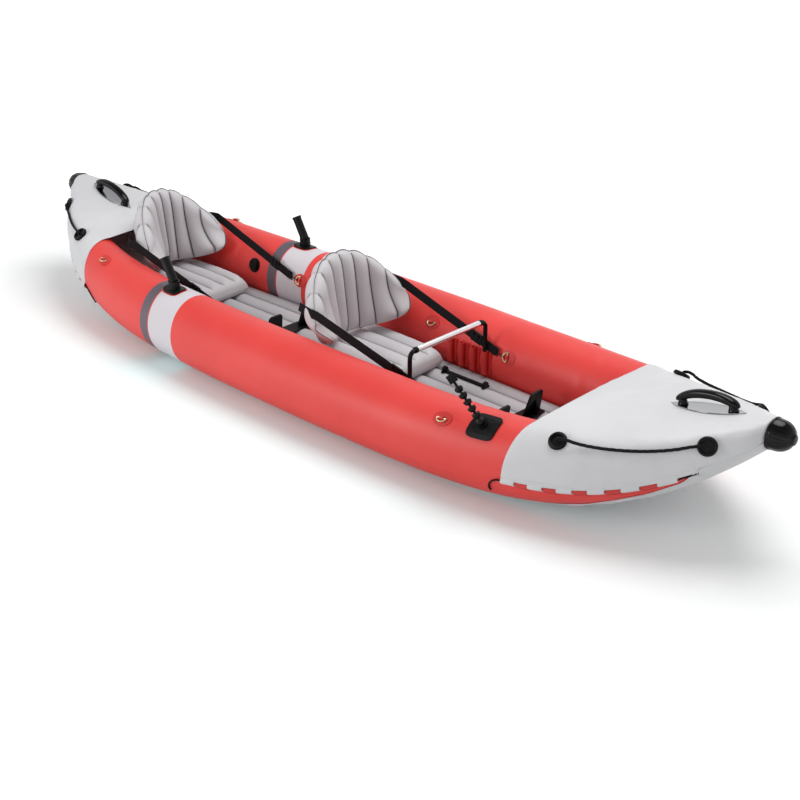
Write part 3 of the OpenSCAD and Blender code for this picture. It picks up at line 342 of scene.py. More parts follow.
class Nodes:
    """A short way to write a material's nodes."""

    def __init__(self, name):
        self.material = bpy.data.materials.new(name)
        self.material.use_nodes = True
        self.tree = self.material.node_tree
        self.shader = self.tree.nodes["Principled BSDF"]
        self.place = self.new("ShaderNodeTexCoord").outputs["Object"]

    def new(self, kind, **values):
        node = self.tree.nodes.new(kind)
        for key, value in values.items():
            if key in node.inputs:
                self.put(node.inputs[key], value)
            else:
                setattr(node, key, value)
        return node

    def put(self, socket, value):
        if isinstance(value, bpy.types.NodeSocket):
            self.tree.links.new(value, socket)
        else:
            socket.default_value = value

    def math(self, operation, *values):
        node = self.new("ShaderNodeMath", operation=operation)
        for socket, value in zip(node.inputs, values):
            self.put(socket, value)
        return node.outputs[0]

    def noise(self, scale, detail=3.0, roughness=0.5, place=None):
        node = self.new("ShaderNodeTexNoise", Scale=scale, Detail=detail, Roughness=roughness)
        self.put(node.inputs["Vector"], place or self.place)
        return node.outputs["Fac"]

    def ramp(self, value, low, high, from_low=0.0, from_high=1.0):
        node = self.new("ShaderNodeMapRange", clamp=True)
        for socket, v in zip(node.inputs, (value, from_low, from_high, low, high)):
            self.put(socket, v)
        return node.outputs[0]

    def blend(self, fac, a, b):
        node = self.new("ShaderNodeMix", data_type="RGBA")
        self.put(node.inputs[0], fac)
        self.put(node.inputs[6], a)
        self.put(node.inputs[7], b)
        return node.outputs[2]

    def bump(self, height, distance, strength=1.0, before=None):
        node = self.new("ShaderNodeBump", Strength=strength, Distance=distance)
        self.put(node.inputs["Height"], height)
        if before is not None:
            self.put(node.inputs["Normal"], before)
        return node.outputs["Normal"]

    def set(self, **values):
        for key, value in values.items():
            self.put(self.shader.inputs[key.replace("_", " ")], value)
        return self.material


def axis_of(n, place, axis):
    return n.new("ShaderNodeSeparateXYZ", Vector=place).outputs[axis]


def coated_fabric(name, rgb, dirt, rough=0.46, bands=None, grain=900.0, wrinkle=0.0012, crease=None):
    """Coated fabric: faint weave under the coating, soft unevenness, and painted shade darkening the welded
    grooves where marked.
    """
    n = Nodes(name)
    patch = n.noise(3.1, 4.0)
    colour = n.blend(n.ramp(patch, 0.0, 1.0, 0.35, 0.7), linear(rgb), linear(dirt))
    if bands:
        x = axis_of(n, n.place, 0)
        for low, high, band in bands:
            inside = n.math("MULTIPLY", n.math("GREATER_THAN", x, low), n.math("LESS_THAN", x, high))
            colour = n.blend(inside, colour, linear(band))
    # Painted shade: the colour is darkened along the welded grooves, where their shade falls
    if crease:
        shaded_groove = n.new("ShaderNodeAttribute", attribute_name="crease").outputs["Fac"]
        colour = n.blend(shaded_groove, colour, linear(crease))
    fine = n.noise(grain, 2.0)
    broad = n.noise(26.0, 3.0, 0.55)
    normal = n.bump(broad, wrinkle, 0.5)
    normal = n.bump(fine, 0.00012, 0.35, normal)
    return n.set(Base_Color=colour, Roughness=n.ramp(patch, rough - 0.05, rough + 0.07), Normal=normal)


def moulded(name, rgb, rough, shine, grain=700.0, depth=0.00015):
    """Moulded plastic: fine grain, slightly uneven gloss and paler worn raised parts."""
    n = Nodes(name)
    uneven = n.noise(45.0, 4.0)
    wear = n.ramp(n.new("ShaderNodeNewGeometry").outputs["Pointiness"], 0.0, 1.0, 0.52, 0.62)
    pale = tuple(1.4 * c + 12 for c in rgb)
    colour = n.blend(n.math("MULTIPLY", wear, n.ramp(uneven, 0.2, 0.8)), linear(rgb), linear(pale))
    normal = n.bump(n.noise(grain, 2.0), depth, 0.4)
    gloss = n.ramp(uneven, rough - 0.06, rough + 0.08)
    return n.set(Base_Color=colour, Roughness=gloss, Specular_IOR_Level=shine, Normal=normal)


def woven(name, rgb, pitch):
    """Webbing or cord: crossing threads that follow the row frame."""
    n = Nodes(name)
    x, z = axis_of(n, n.place, 0), axis_of(n, n.place, 2)
    turns = 2 * math.pi / pitch
    along = n.math("ADD", x, n.math("MULTIPLY", z, 0.5))
    across = n.math("SUBTRACT", z, n.math("MULTIPLY", x, 0.35))
    threads = [n.math("SINE", n.math("MULTIPLY", way, turns)) for way in (along, across)]
    weave = n.math("MULTIPLY", *threads)
    fuzz = n.noise(1500.0, 2.0)
    pale = tuple(1.5 * c + 10 for c in rgb)
    colour = n.blend(n.ramp(n.math("ADD", weave, fuzz), 0.0, 1.0, -0.4, 1.6), linear(rgb), linear(pale))
    normal = n.bump(weave, 0.0004, 0.6)
    return n.set(Base_Color=colour, Roughness=0.82, Specular_IOR_Level=0.15, Normal=normal)


def metal(name, rgb, rough, streak):
    """Metal with fine drawn streaks along one axis."""
    n = Nodes(name)
    mapped = n.new("ShaderNodeMapping", Vector=n.place, Scale=streak).outputs[0]
    lines = n.noise(60.0, 4.0, 0.6, mapped)
    colour = n.blend(n.ramp(lines, 0.0, 0.35), linear(rgb), linear(tuple(0.78 * c for c in rgb)))
    normal = n.bump(lines, 0.00005, 0.3)
    gloss = n.ramp(lines, rough * 0.8, rough * 1.3)
    return n.set(Base_Color=colour, Metallic=1.0, Roughness=gloss, Normal=normal)


RED = (224, 62, 57)
BAND_GREY, BAND_DARK = (206, 201, 206), (92, 82, 92)
red_bands = [(-0.786, -0.733, BAND_DARK), (-0.727, -0.570, BAND_GREY)]
M = {
    "red": coated_fabric("red_laminate", RED, (216, 55, 50), bands=red_bands),
    "red_tab": coated_fabric("red_tab", (205, 48, 42), (190, 40, 36), wrinkle=0.0006),
    "cover": coated_fabric("cover_grey", (208, 208, 210), (199, 199, 202), 0.50, wrinkle=0.0040),
    "bottom": coated_fabric("bottom_grey", (206, 206, 208), (192, 192, 195), 0.55),
    # The floor's and seat's second colours are painted shade for their welded grooves
    "floor": coated_fabric("floor_grey", (182, 180, 183), (171, 169, 172), 0.5, crease=(120, 117, 121)),
    "seat": coated_fabric(
        "seat_grey", (196, 194, 197), (187, 185, 188), 0.6, wrinkle=0.0009, crease=(88, 84, 88)
    ),
    "seat_edge": coated_fabric("seat_edge", (74, 71, 75), (62, 59, 63), 0.6, wrinkle=0.0004),
    "black": moulded("moulded_black", (9, 9, 10), 0.40, 0.17),
    "gloss": moulded("gloss_black", (5, 5, 6), 0.13, 0.19, 300.0, 0.00005),
    "web": woven("black_webbing", (14, 13, 15), 0.0022),
    "rope": woven("black_braid", (12, 12, 13), 0.0035),
    "plate": metal("polished_plate", (172, 173, 177), 0.08, (1.0, 12.0, 1.0)),
    "tube": metal("silver_tube", (236, 236, 238), 0.3, (9.0, 1.0, 9.0)),
    "brass": metal("ring_metal", (214, 196, 158), 0.28, (4.0, 4.0, 4.0)),
}


# Camera, floor and light
FOCAL_PX, PICTURE_PX, SENSOR_MM = 1420.8, 800, 36.0
CAMERA_PLACE, CAMERA_AZIMUTH, CAMERA_ELEVATION = (3.7279, -3.5979, 2.4098), 44.1186, 25.7962


def look_from(position, azimuth, elevation):
    a, e = math.radians(azimuth), math.radians(elevation)
    back = Vector((math.sin(a) * math.cos(e), -math.cos(a) * math.cos(e), math.sin(e)))
    right = Vector((math.cos(a), math.sin(a), 0))
    up = back.cross(right)
    m = Matrix((right, up, back)).transposed().to_4x4()
    m.translation = position
    return m


camera = bpy.data.objects.new("camera", bpy.data.cameras.new("camera"))
bpy.context.collection.objects.link(camera)
camera.data.sensor_fit = "HORIZONTAL"
camera.data.sensor_width = SENSOR_MM
camera.data.lens = FOCAL_PX / PICTURE_PX * SENSOR_MM
camera.matrix_world = look_from(CAMERA_PLACE, CAMERA_AZIMUTH, CAMERA_ELEVATION)
bpy.context.scene.camera = camera
bpy.context.scene.view_settings.view_transform = "Standard"


def area_light(name, position, target, size, power):
    lamp = bpy.data.objects.new(name, bpy.data.lights.new(name, "AREA"))
    lamp.data.shape = "DISK"
    lamp.data.size = size
    lamp.data.energy = power
    lamp.location = position
    lamp.rotation_euler = (Vector(target) - Vector(position)).to_track_quat("-Z", "Y").to_euler()
    bpy.context.collection.objects.link(lamp)


area_light("top_light", (0.5, 1.3, 4.7), (0, 0, 0.2), 3.4, 165)
area_light("front_light", (-2.2, -5.6, 1.9), (0, 0, 0.2), 2.5, 122)

# The surroundings are white low down and greyer overhead; cloth and plastic are lit by a weaker even light
SKY_FILL, SKY_LOW, SKY_HIGH = 0.50, 1.0, 0.3
world = bpy.data.worlds.new("studio")
world.use_nodes = True
bpy.context.scene.world = world
sky = world.node_tree


def sky_node(kind, values, **settings):
    node = sky.nodes.new(kind)
    for key, value in settings.items():
        setattr(node, key, value)
    for socket, value in zip(node.inputs, values):
        if isinstance(value, bpy.types.NodeSocket):
            sky.links.new(value, socket)
        else:
            socket.default_value = value
    return node.outputs


rays = sky.nodes.new("ShaderNodeLightPath").outputs
way = sky.nodes.new("ShaderNodeTexCoord").outputs["Generated"]
height = sky_node("ShaderNodeSeparateXYZ", [way])[2]
mirror_rays = [rays["Is Glossy Ray"], rays["Is Transmission Ray"]]
mirrored = sky_node("ShaderNodeMath", mirror_rays, operation="MAXIMUM")[0]
seen = sky_node("ShaderNodeMath", [rays["Is Camera Ray"], mirrored], operation="MAXIMUM")[0]
shown = sky_node("ShaderNodeMapRange", [height, 0.3, 0.95, SKY_LOW, SKY_HIGH])[0]
strength = sky_node("ShaderNodeMapRange", [seen, 0.0, 1.0, SKY_FILL, shown])[0]
sky.links.new(strength, sky.nodes["Background"].inputs["Strength"])
sky.nodes["Background"].inputs["Color"].default_value = (1, 1, 1, 1)

# The floor glows faintly, and fully away from the boat, so that it runs into the white backdrop
ground = Nodes("pale_floor")
across = ground.new("ShaderNodeMapping", Vector=ground.place, Scale=(0.45, 1.0, 1.0)).outputs[0]
away = ground.new("ShaderNodeVectorMath", operation="LENGTH")
ground.put(away.inputs[0], across)
glow = ground.ramp(away.outputs["Value"], 0.08, 1.1, 0.95, 2.6)
rays = ground.new("ShaderNodeLightPath").outputs
seen = ground.math("MAXIMUM", rays["Is Camera Ray"], rays["Is Glossy Ray"])
seen = ground.math("MAXIMUM", seen, rays["Is Transmission Ray"])
# In the shade beside the red chamber its colour offsets the red light that is thrown on it
along = ground.math("ABSOLUTE", axis_of(ground, ground.place, 0))
aside = axis_of(ground, ground.place, 1)
near_hull = ground.ramp(aside, 0.0, 1.0, -0.86, -0.50)
shaded = ground.math("MULTIPLY", near_hull, ground.ramp(aside, 1.0, 0.0, 0.0, 0.3))
beside = ground.math("MULTIPLY", ground.ramp(along, 1.0, 0.0, 0.8, 1.5), shaded)
base = ground.blend(beside, linear((244, 245, 245)), linear((226, 246, 246)))
ground.set(Base_Color=base, Roughness=0.9, Specular_IOR_Level=0.0)
ground.set(Emission_Color=(1, 1, 1, 1), Emission_Strength=ground.math("MULTIPLY", glow, seen))
floor_corners = [(x, y, -0.001) for x, y in ((-40, -40), (40, -40), (40, 40), (-40, 40))]
floor_plane = mesh_object("studio_floor", floor_corners, [(0, 1, 2, 3)], ground.material, None, False)


# Lacing line, deck line and rope route on the hull
def lacing_angle(x, end):
    return mix(LACING_A0, LACING_A1, share(np.abs(x), COVER_X[end], TIP_X))


def lacing_skin(x, end, d, lift):
    return skin(x, lacing_angle(x, end) + arc(x, d), lift)


def hem_start(end):
    return COVER_X[end] - CORNER_SWEEP + HEM_INSET


def deck_z(x, end):
    t = share(np.abs(x), COVER_X[end], TUBE_END)
    return mix(tube_top(COVER_X[end]) + EDGE_CROWN, tube_top(TUBE_END), t)


DECK_LIFT = SOFT_GAP + COVER_THICK + FIT_GAP
ROPE_ROUTE = [  # share of the way between the eyelets, and height over the cover in mm
    (0, 1), (0, 9), (0.008, 15), (0.03, 20), (0.06, 22), (0.1, 20.5), (0.17, 13), (0.28, 9), (0.42, 8),
    (0.58, 8), (0.72, 9), (0.83, 13), (0.9, 20.5), (0.94, 22), (0.97, 20), (0.992, 15), (1, 9), (1, 1),
]
# The loose end, in mm: from the hem's start towards midships, and below the lacing line
LACING_TAIL = [(56, 62), (57, 48), (55, 34), (48, 20), (36, 8), (20, 1)]


def rope_point(end, t, h):
    """A point of the port rope; its two ends stand square on the skin, in the eyelets."""
    x = end * mix(COVER_X[end] + ROPE_FROM_EDGE, TIP_X + ROPE_PAST_TIP, t)
    a = mix(*ROPE_A, t)
    if 0 < t < 1:
        return skin(x, a, DECK_LIFT + h)
    step = 0.001
    along = skin(x + step, a, DECK_LIFT) - skin(x - step, a, DECK_LIFT)
    round_it = skin(x, a + 0.1, DECK_LIFT) - skin(x, a - 0.1, DECK_LIFT)
    normal = np.cross(round_it, along)
    normal = normal / np.linalg.norm(normal)
    return skin(x, a, DECK_LIFT) + h * normal * np.sign(normal[2])


def side_name(end, side):
    return ("bow" if end > 0 else "stern") + "_" + ("port" if side > 0 else "starboard")


# Cords first: grab ropes and lacing cords
for end in (1, -1):
    for side in (1, -1):
        flip = np.array([1, side, 1.0])
        route = [rope_point(end, t, h / 1000) * flip for t, h in ROPE_ROUTE]
        path, length = smooth_path(route, 0.0012)
        name = side_name(end, side) + "_rope"
        rope = mesh_object(name, *braided_tube(path, ROPE_D), M["rope"])
        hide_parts(side_name(end, side) + "_grab_rope")

        start = hem_start(end)
        lift = SOFT_GAP + LACING_D / 2
        run = [lacing_skin(mix(start, TIP_X, i / 22) * end, end, 0, lift) * flip for i in range(22, -1, -1)]
        tail = [
            lacing_skin((start - a / 1000) * end, end, -b / 1000, lift) * flip
            for a, b in LACING_TAIL[::-1]
        ]
        path, length = smooth_path(run + tail, 0.0012)
        name = side_name(end, side) + "_lacing"
        cord = mesh_object(name, *braided_tube(path, LACING_D, 16, 2.4), M["rope"])
        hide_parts(side_name(end, side) + "_lacing_cord")


# Side chambers, with creases where the cockpit side is pressed together
CREASE_REACH = 42
CREASES = [  # place along the boat, angle, lean, width and depth
    (0.93, 150, 0.0006, 0.016, 0.0032),
    (1.02, 140, 0.0009, 0.014, 0.0042),
    (1.09, 165, 0.0004, 0.013, 0.003),
    (-0.98, 150, -0.0006, 0.016, 0.0032),
    (-1.07, 140, -0.0008, 0.014, 0.004),
    (-1.16, 165, -0.0004, 0.013, 0.003),
]


def creases(x, a):
    """Depth of the skin's creases on the cockpit side, towards both ends."""
    depth = 0 * x
    for x0, a0, lean, width, size in CREASES:
        line = x - x0 - lean * (a - a0)
        depth = depth + size * np.exp(-((line / width) ** 2)) * np.exp(-(((a - a0) / CREASE_REACH) ** 2))
    return depth


t = np.linspace(-1, 1, 261)
stations = TUBE_END * (0.55 * t + 0.45 * np.sin(np.pi / 2 * t))
angles = np.linspace(0, 360, 97)[:-1]
X, A = np.meshgrid(stations, angles, indexing="ij")
uneven = 0.0005 * np.sin(9 * X + np.radians(2 * A)) * np.sin(np.radians(3 * A) + 4 * X)
tucked = 0.009 * share(np.abs(X), TUBE_END - 0.03, TUBE_END)
chamber = skin(X, A, uneven - creases(X, A) - tucked)
for side, label in ((1, "port"), (-1, "starboard")):
    points, faces = capped_rings(chamber * np.array([1, side, 1.0]), flip=side > 0)
    piece = mesh_object(label + "_chamber_skin", points, faces, M["red"])
    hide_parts(label + "_side_chamber")


# Bottom sheet up to its seam on the chambers
def seam_angle(x):
    wave = 1.2 * np.sin(31 * x) + 0.8 * np.sin(67 * x)
    low = mix(SEAM_A0, SEAM_A1, ease(share(np.abs(x), 1.0, TIP_X)))
    low = low + wave * share(np.abs(x), 1.0, 1.2)
    return mix(low, LACING_A1 + 14, ease(share(np.abs(x), TIP_X - 0.055, TIP_X + 0.015)))


half = TUBE_END - SOFT_GAP
xs = half * (0.55 * t + 0.45 * np.sin(np.pi / 2 * t))
k = np.linspace(0, 1, 22)
port = skin(xs[:, None], mix(seam_angle(xs)[:, None], -90, k[None]), SHEET_GAP)
middle = [np.stack([xs, f * port[:, -1, 1], port[:, -1, 2]], -1) for f in (0.66, 0.33, 0, -0.33, -0.66)]
middle = np.stack(middle, 1)
inner = np.concatenate([port, middle, mirror_y(port[:, ::-1])], 1)
outer = inner.copy()
ends = ease(share(np.abs(xs), 1.05, 1.35)) * (1 - share(np.abs(xs), 1.70, 1.80))
crinkle = np.sin(38 * xs[:, None] + 7 * k[None]) * np.sin(17 * xs[:, None] - 11 * k[None] + 1) ** 2
crinkle = 0.004 * ends[:, None] * np.maximum(0, crinkle) * (1 - k[None]) ** 0.5
outer_port = skin(xs[:, None], mix(seam_angle(xs)[:, None], -90, k[None]), SHEET_GAP + BOTTOM_THICK + crinkle)
outer[:, : len(k)] = outer_port
outer[:, -len(k):] = mirror_y(outer_port[:, ::-1])
outer[:, len(k):-len(k), 2] -= BOTTOM_THICK
points, faces = closed_sheet(outer, inner)
bottom = mesh_object("bottom_skin", points, faces, M["bottom"])
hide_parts("hull_bottom")


# Inflated floor
def channel(v, count, depth, power=0.6):
    """1 on a channel's crest, less in the welded valleys."""
    return 1 - depth + depth * np.abs(np.sin(np.pi / 2 * count * (v + 1))) ** power


def weld_line(v, count, half, width=0.003):
    """1 on the welded valleys, fading within their width."""
    across = np.abs((count * (v + 1) / 2 + 0.5) % 1 - 0.5) * 2 * half / count
    return np.exp(-((across / width) ** 2))


def pinch(t, power):
    return np.sqrt(np.maximum(0, 1 - np.abs(t) ** power))


def floor_low(x):
    return tube_low(x) - SHEET_GAP + SOFT_GAP


u = np.sin(np.pi / 2 * np.linspace(-1, 1, 121))[:, None]
v = np.linspace(-1, 1, 145)[None]
x = FLOOR_HALF_LEN * u
seam = mix(floor_low(x), FLOOR_TOP, FLOOR_SEAM_SHARE)
y = (inner_y(x, seam) - FLOOR_SIDE_GAP) * v
swell = pinch(u, 20) * pinch(v, 16) * channel(v, FLOOR_CHANNELS, 0.5)
top = np.stack([x + 0 * v, y, mix(seam, FLOOR_TOP, swell)], -1)
low = np.stack([x + 0 * v, y, mix(seam - 0.002, floor_low(x), pinch(u, 30) * pinch(v, 30))], -1)
points, faces = closed_sheet(top, low)
piece = mesh_object("floor_cushion", points, faces, M["floor"])
# The weld mask places painted shade in the floor's welded grooves
weld = weld_line(v, FLOOR_CHANNELS, 0.2, 0.004) + 0 * u
mark_creases(piece, weld, 0 * weld)
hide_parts("inflatable_floor")


# Deck covers: one continuous laminate sheet from hem to hem
def resample(rows, count):
    """Each row of points at even spacing along itself."""
    out = []
    for row in rows:
        s = run_length(row)
        at = np.linspace(0, s[-1], count)
        out.append(np.stack([np.interp(at, s, row[:, c]) for c in range(3)], -1))
    return np.array(out)


def soften(rows, width):
    """Rows of points smoothed along themselves, ends kept."""
    kernel = np.hanning(2 * width + 3)[1:-1]
    kernel /= kernel.sum()
    before = 2 * rows[:, :1] - rows[:, width:0:-1]
    after = 2 * rows[:, -1:] - rows[:, -2:-width - 2:-1]
    padded = np.concatenate([before, rows, after], 1)
    smoothed = [np.apply_along_axis(np.convolve, 1, padded[..., c], kernel, "valid") for c in range(3)]
    return np.stack(smoothed, -1)


def cover_rows(end, count=90):
    """Rows across the cover from the starboard hem line to the port one, cockpit edge first."""
    rows = []
    for t in np.linspace(0, 1, count):
        def row_x(a):
            return mix(COVER_X[end] - CORNER_SWEEP * (90 - a) / 100, TUBE_END - SOFT_GAP, t)

        low = lacing_angle(row_x(0) * end, end) + arc(row_x(0), 0.014)
        a = np.linspace(low, 90, 70)
        arm = skin(row_x(a) * end, a, SOFT_GAP)
        f = np.linspace(1, 0, 40)[1:]
        x = row_x(90.0)
        crown = np.maximum(0, deck_z(x, end) - tube_top(x))
        deck = np.stack([0 * f + x * end, f * tube_y(x), tube_top(x) + SOFT_GAP + crown * (1 - f**2)], -1)
        half = np.concatenate([arm, deck])
        rows.append(np.concatenate([mirror_y(half), half[-2::-1]]))
    return soften(resample(rows, 241), 9)


def cover_folds(p, end):
    """Soft folds over the deck and, short ones, over the hem; none under the handle plate."""
    x, y = np.abs(p[..., 0]), p[..., 1]
    beside_plate = ease(share(np.abs(y), 0.045, 0.085))
    clear = mix(1.0, beside_plate, ease(share(x, 1.46, 1.54)))
    near_nose = ease(share(x, 1.55, 1.80)) * (1 - ease(share(x, 1.815, 1.838)))
    fan = np.arctan2(y, 1.95 - x)
    folds = 0.0058 * near_nose * np.sin(11 * fan + 0.7) * np.cos(38 * x + 5 * y)
    broad = 0.0030 * np.sin(21 * x + 6 * y) * np.sin(15 * y - 4 * x + end)
    fine = 0.0011 * np.sin(57 * x - 34 * y) * np.sin(26 * x + 47 * y + end)
    pull = 0.0011 * np.sin(46 * x + 9 * np.abs(y)) * ease(share(np.abs(y) / half_beam(x), 0.86, 0.99))
    return (folds + broad + fine) * clear + pull


for end, label in ((1, "bow"), (-1, "stern")):
    low = cover_rows(end)
    normal = grid_normals(low)
    normal *= np.sign(normal[len(low) // 2, low.shape[1] // 2, 2])
    low = low + normal * np.maximum(0, cover_folds(low, end))[..., None]
    top = low + normal * COVER_THICK
    points, faces = closed_sheet(top, low)
    if end < 0:
        faces = flipped(faces)
    piece = mesh_object(label + "_cover_sheet", points, faces, M["cover"])
    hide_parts(label + "_deck_cover")
    run = TUBE_END - COVER_X[end] + CORNER_SWEEP


# Hem with tabs and notches over the lacing cord, and the chamber's rolled tabs in the notches
HEM_ABOVE, HEM_BELOW, HEM_NOTCH = 0.020, 0.013, 0.009


def cord_arch(d, base):
    return base + (LACING_D + 0.0016) * np.maximum(0, 1 - (d / 0.014) ** 2)


for end, label in ((1, "bow"), (-1, "stern")):
    start = hem_start(end)
    pitch = (TIP_X - start) / HEM_TABS
    xs = np.linspace(start, TIP_X, 900)
    phase = ((xs - start) / pitch) % 1
    edge = 0.012
    depth = ease(share(phase, 0.5 - edge, 0.5 + edge)) - ease(share(phase, 1 - edge, 1))
    lower = mix(-HEM_BELOW, HEM_NOTCH, depth)
    c = np.linspace(0, 1, 15)[None]
    d = mix(HEM_ABOVE, lower[:, None], c)
    base = mix(SOFT_GAP + COVER_THICK, 0.0009, share(-d, 0, HEM_BELOW))
    lift = cord_arch(d, base)
    thick = mix(0.0002, 0.0026, share(HEM_ABOVE - d, 0, 0.009))
    low = lacing_skin(xs[:, None] * end, end, d, lift)
    top = lacing_skin(xs[:, None] * end, end, d, lift + thick)
    points, faces = closed_sheet(top, low)
    if end < 0:
        faces = flipped(faces)
    piece = mesh_object(label + "_hem_strip", *both_sides(points, faces), M["cover"])
    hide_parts(label + "_cover_hems")

    parts = []
    for i in range(HEM_TABS - 1):
        x = np.linspace(start + pitch * (i + 0.5) + 0.002, start + pitch * (i + 1) - 0.002, 24)[:, None]
        d = np.linspace(HEM_NOTCH - 0.0025, -0.022, 26)[None]
        low = lacing_skin(x * end, end, d, cord_arch(d, 0.0005))
        top = lacing_skin(x * end, end, d, cord_arch(d, 0.0005) + 0.0014)
        points, faces = closed_sheet(top, low)
        parts.append(both_sides(points, faces if end > 0 else flipped(faces)))
    piece = mesh_object(label + "_rolled_tabs", *joined(parts), M["red_tab"])
    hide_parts(label + "_lacing_tabs")


# Nose caps: bulged rim, lengthwise ridges and a blunt tip
def cap_ridges(f, h):
    return 1 - 0.022 * np.abs(np.sin(6 * f)) ** 6 * share(h, 0.012, 0.02) * (1 - share(h, 0.06, 0.07))


cap_profile = [(0.0, 0.0), (0.050, 0.0), (0.0535, 0.0015), (0.0545, 0.004), (0.0535, 0.0075), (0.0518, 0.009)]
cap_profile += [(0.052 * (1 - s**2.6) ** 0.5, 0.010 + 0.066 * s) for s in np.linspace(0, 0.93, 34)]
cap_profile += [(0.018, 0.0745), (0.0165, 0.0772), (0.013, 0.0785), (0.006, 0.0790), (0.0, 0.0792)]
for end, label in ((1, "bow"), (-1, "stern")):
    z = (TUBE_TOP_END + TUBE_LOW_END) / 2
    axes = ((0, 0, 1), (0, end, 0), (end, 0, 0))
    points, faces = turned(cap_profile, 96, (end * (TUBE_END + FIT_GAP), 0, z), axes, cap_ridges)
    piece = mesh_object(label + "_nose_cap_shell", points, flipped(faces), M["gloss"])
    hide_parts(label + "_nose_cap")


# Carry handles: a polished dished plate and an arched grip with flared posts
PLATE_LEN, PLATE_W, PLATE_T = 0.280, 0.084, 0.0025
GRIP_HALF, GRIP_W, POST_X = 0.118, 0.031, 0.094
HANDLE_X = TUBE_END - NOSE_CAP_LEN - PLATE_LEN / 2 - 0.015


def at_handle(points, end):
    """Points from a handle's own frame to the boat's."""
    rise = deck_z(TUBE_END, end) - deck_z(COVER_X[end], end)
    tilt = end * math.atan(rise / (TUBE_END - COVER_X[end]))
    p = np.asarray(points, float)
    x = p[..., 0] * math.cos(tilt) - p[..., 2] * math.sin(tilt) + end * HANDLE_X
    z = p[..., 0] * math.sin(tilt) + p[..., 2] * math.cos(tilt) + deck_z(HANDLE_X, end) + DECK_LIFT
    return np.stack([x, p[..., 1], z], -1)


def handle_plate():
    half_l, half_w = PLATE_LEN / 2, PLATE_W / 2
    r = (half_l**2 + half_w**2) / (2 * half_w)
    x = half_l * np.sin(np.pi / 2 * np.linspace(-0.997, 0.997, 90))[:, None]
    v = np.linspace(-1, 1, 31)[None]
    y = v * (np.sqrt(r**2 - x**2) - r + half_w)
    inside = (1 - np.abs(v) ** 3) * (1 - np.abs(x / half_l) ** 4)
    top = np.stack([x + 0 * v, y, PLATE_T * (1 - 0.62 * inside)], -1)
    low = np.stack([x + 0 * v, y, 0 * inside], -1)
    return closed_sheet(top, low)


def handle_grip():
    x = GRIP_HALF * np.sin(np.pi / 2 * np.linspace(-1, 1, 81))
    s = np.abs(x / GRIP_HALF)
    mid = 0.0185 + 0.0285 * (1 - s**2.2)
    thick = 0.0148 * np.sqrt(np.maximum(0.004, 1 - s**7))
    wide = GRIP_W / 2 * (1.05 + 0.15 * s**2) * np.sqrt(np.maximum(0.004, 1 - s**9))
    f = np.linspace(0, 2 * np.pi, 33)[:-1]
    c, q = np.cos(f), np.sin(f)
    y = wide[:, None] * squared(c, 0.8)
    z = mid[:, None] + thick[:, None] * squared(q, 0.8)
    rings = np.stack([x[:, None] + 0 * c, y, z], -1)
    post = [(0.0, 0.0028), (0.0172, 0.0028), (0.0176, 0.0042), (0.0168, 0.0064), (0.0154, 0.0094)]
    post += [(0.0145, 0.0130), (0.0143, 0.0170), (0.0146, 0.0215), (0.0, 0.0220)]
    posts = [turned(post, 32, (side * POST_X, 0, 0)) for side in (1, -1)]
    return joined([capped_rings(rings)] + posts)


for shape, node, name, material, slot in (
    (handle_plate, "handle_plates", "handle_plate_pair", "plate", "polished_plate"),
    (handle_grip, "handle_grips", "handle_grip_pair", "gloss", "black_plastic"),
):
    points, faces = shape()
    pair = joined([(at_handle(points, end), faces) for end in (1, -1)])
    piece = mesh_object(name, *pair, M[material])
    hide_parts(node)


# Red patches that frame the rod holder bases
def skin_patch(x, a, length, width, lift, thick, power):
    """A thin closed pad on the port chamber with a rounded outline."""
    f = np.linspace(0, 2 * np.pi, 65)[:-1]
    grow = np.linspace(0.02, 1, 12)[:, None]
    px = x + grow * length / 2 * squared(np.cos(f), 2 / power)
    pa = a + arc(x, grow * width / 2 * squared(np.sin(f), 2 / power))
    return capped_rings(np.concatenate([skin(px, pa, lift + thick), skin(px, pa, lift)[::-1]]))


rod_patch = skin_patch(x=-0.690, a=85, length=0.108, width=0.092, lift=0.0002, thick=0.0005, power=3.5)
piece = mesh_object("rod_base_patches", *both_sides(*rod_patch), M["red_tab"])


# Seats: channelled inflated cushions with a welded flange round the edge
def seat_half(x):
    return inner_y(x, tube_z(x)) - SEAT_SIDE_GAP


def seat_cushion(x0):
    u = 0.5 - 0.5 * np.cos(np.pi * np.linspace(0.07, 0.93, 90))
    u = np.concatenate([[0.0, 0.012], u, [0.988, 1.0]])[:, None]
    v = np.concatenate([[-1, -0.985], np.linspace(-0.98, 0.98, 201), [0.985, 1]])[None]
    row_x = x0 - SEAT_REAR + (SEAT_LEN + SEAT_REAR) * u
    x = row_x - 0.012 * u**3 * np.abs(v) ** 3
    width = np.minimum(seat_half(row_x), seat_half(x0 + SEAT_LEN / 2))
    y = width * v * (1 - 0.07 * u**3)
    inside = (np.abs(v) < 0.984) & (u > 0.011) & (u < 0.989)
    weld = ease(share(u, 0.0, 0.10)) * ease(share(1 - u, 0.0, 0.14))
    swell = pinch(2 * u - 1, 8) * pinch(v / 0.985, 12) * channel(v, SEAT_CHANNELS, 0.42 * weld)
    pucker = 0.0016 * np.sin(95 * x) * np.exp(-(((np.abs(v) - 0.93) / 0.06) ** 2))
    pucker = pucker * np.abs(np.sin(np.pi / 2 * SEAT_CHANNELS * (v + 1))) ** 0.5
    top = SEAT_LOW + SEAT_SEAM + np.where(inside, (SEAT_THICK - SEAT_SEAM) * swell + pucker, 0)
    low = SEAT_LOW + (SEAT_SEAM - 0.0018) * (1 - np.where(inside, pinch(2 * u - 1, 30) * pinch(v, 30), 0))
    top, low = (np.stack([x + 0 * v, y + 0 * u, z + 0 * u * v], -1) for z in (top, low))
    return top, low, 0.7 * weld * weld_line(v, SEAT_CHANNELS, width, 0.004)


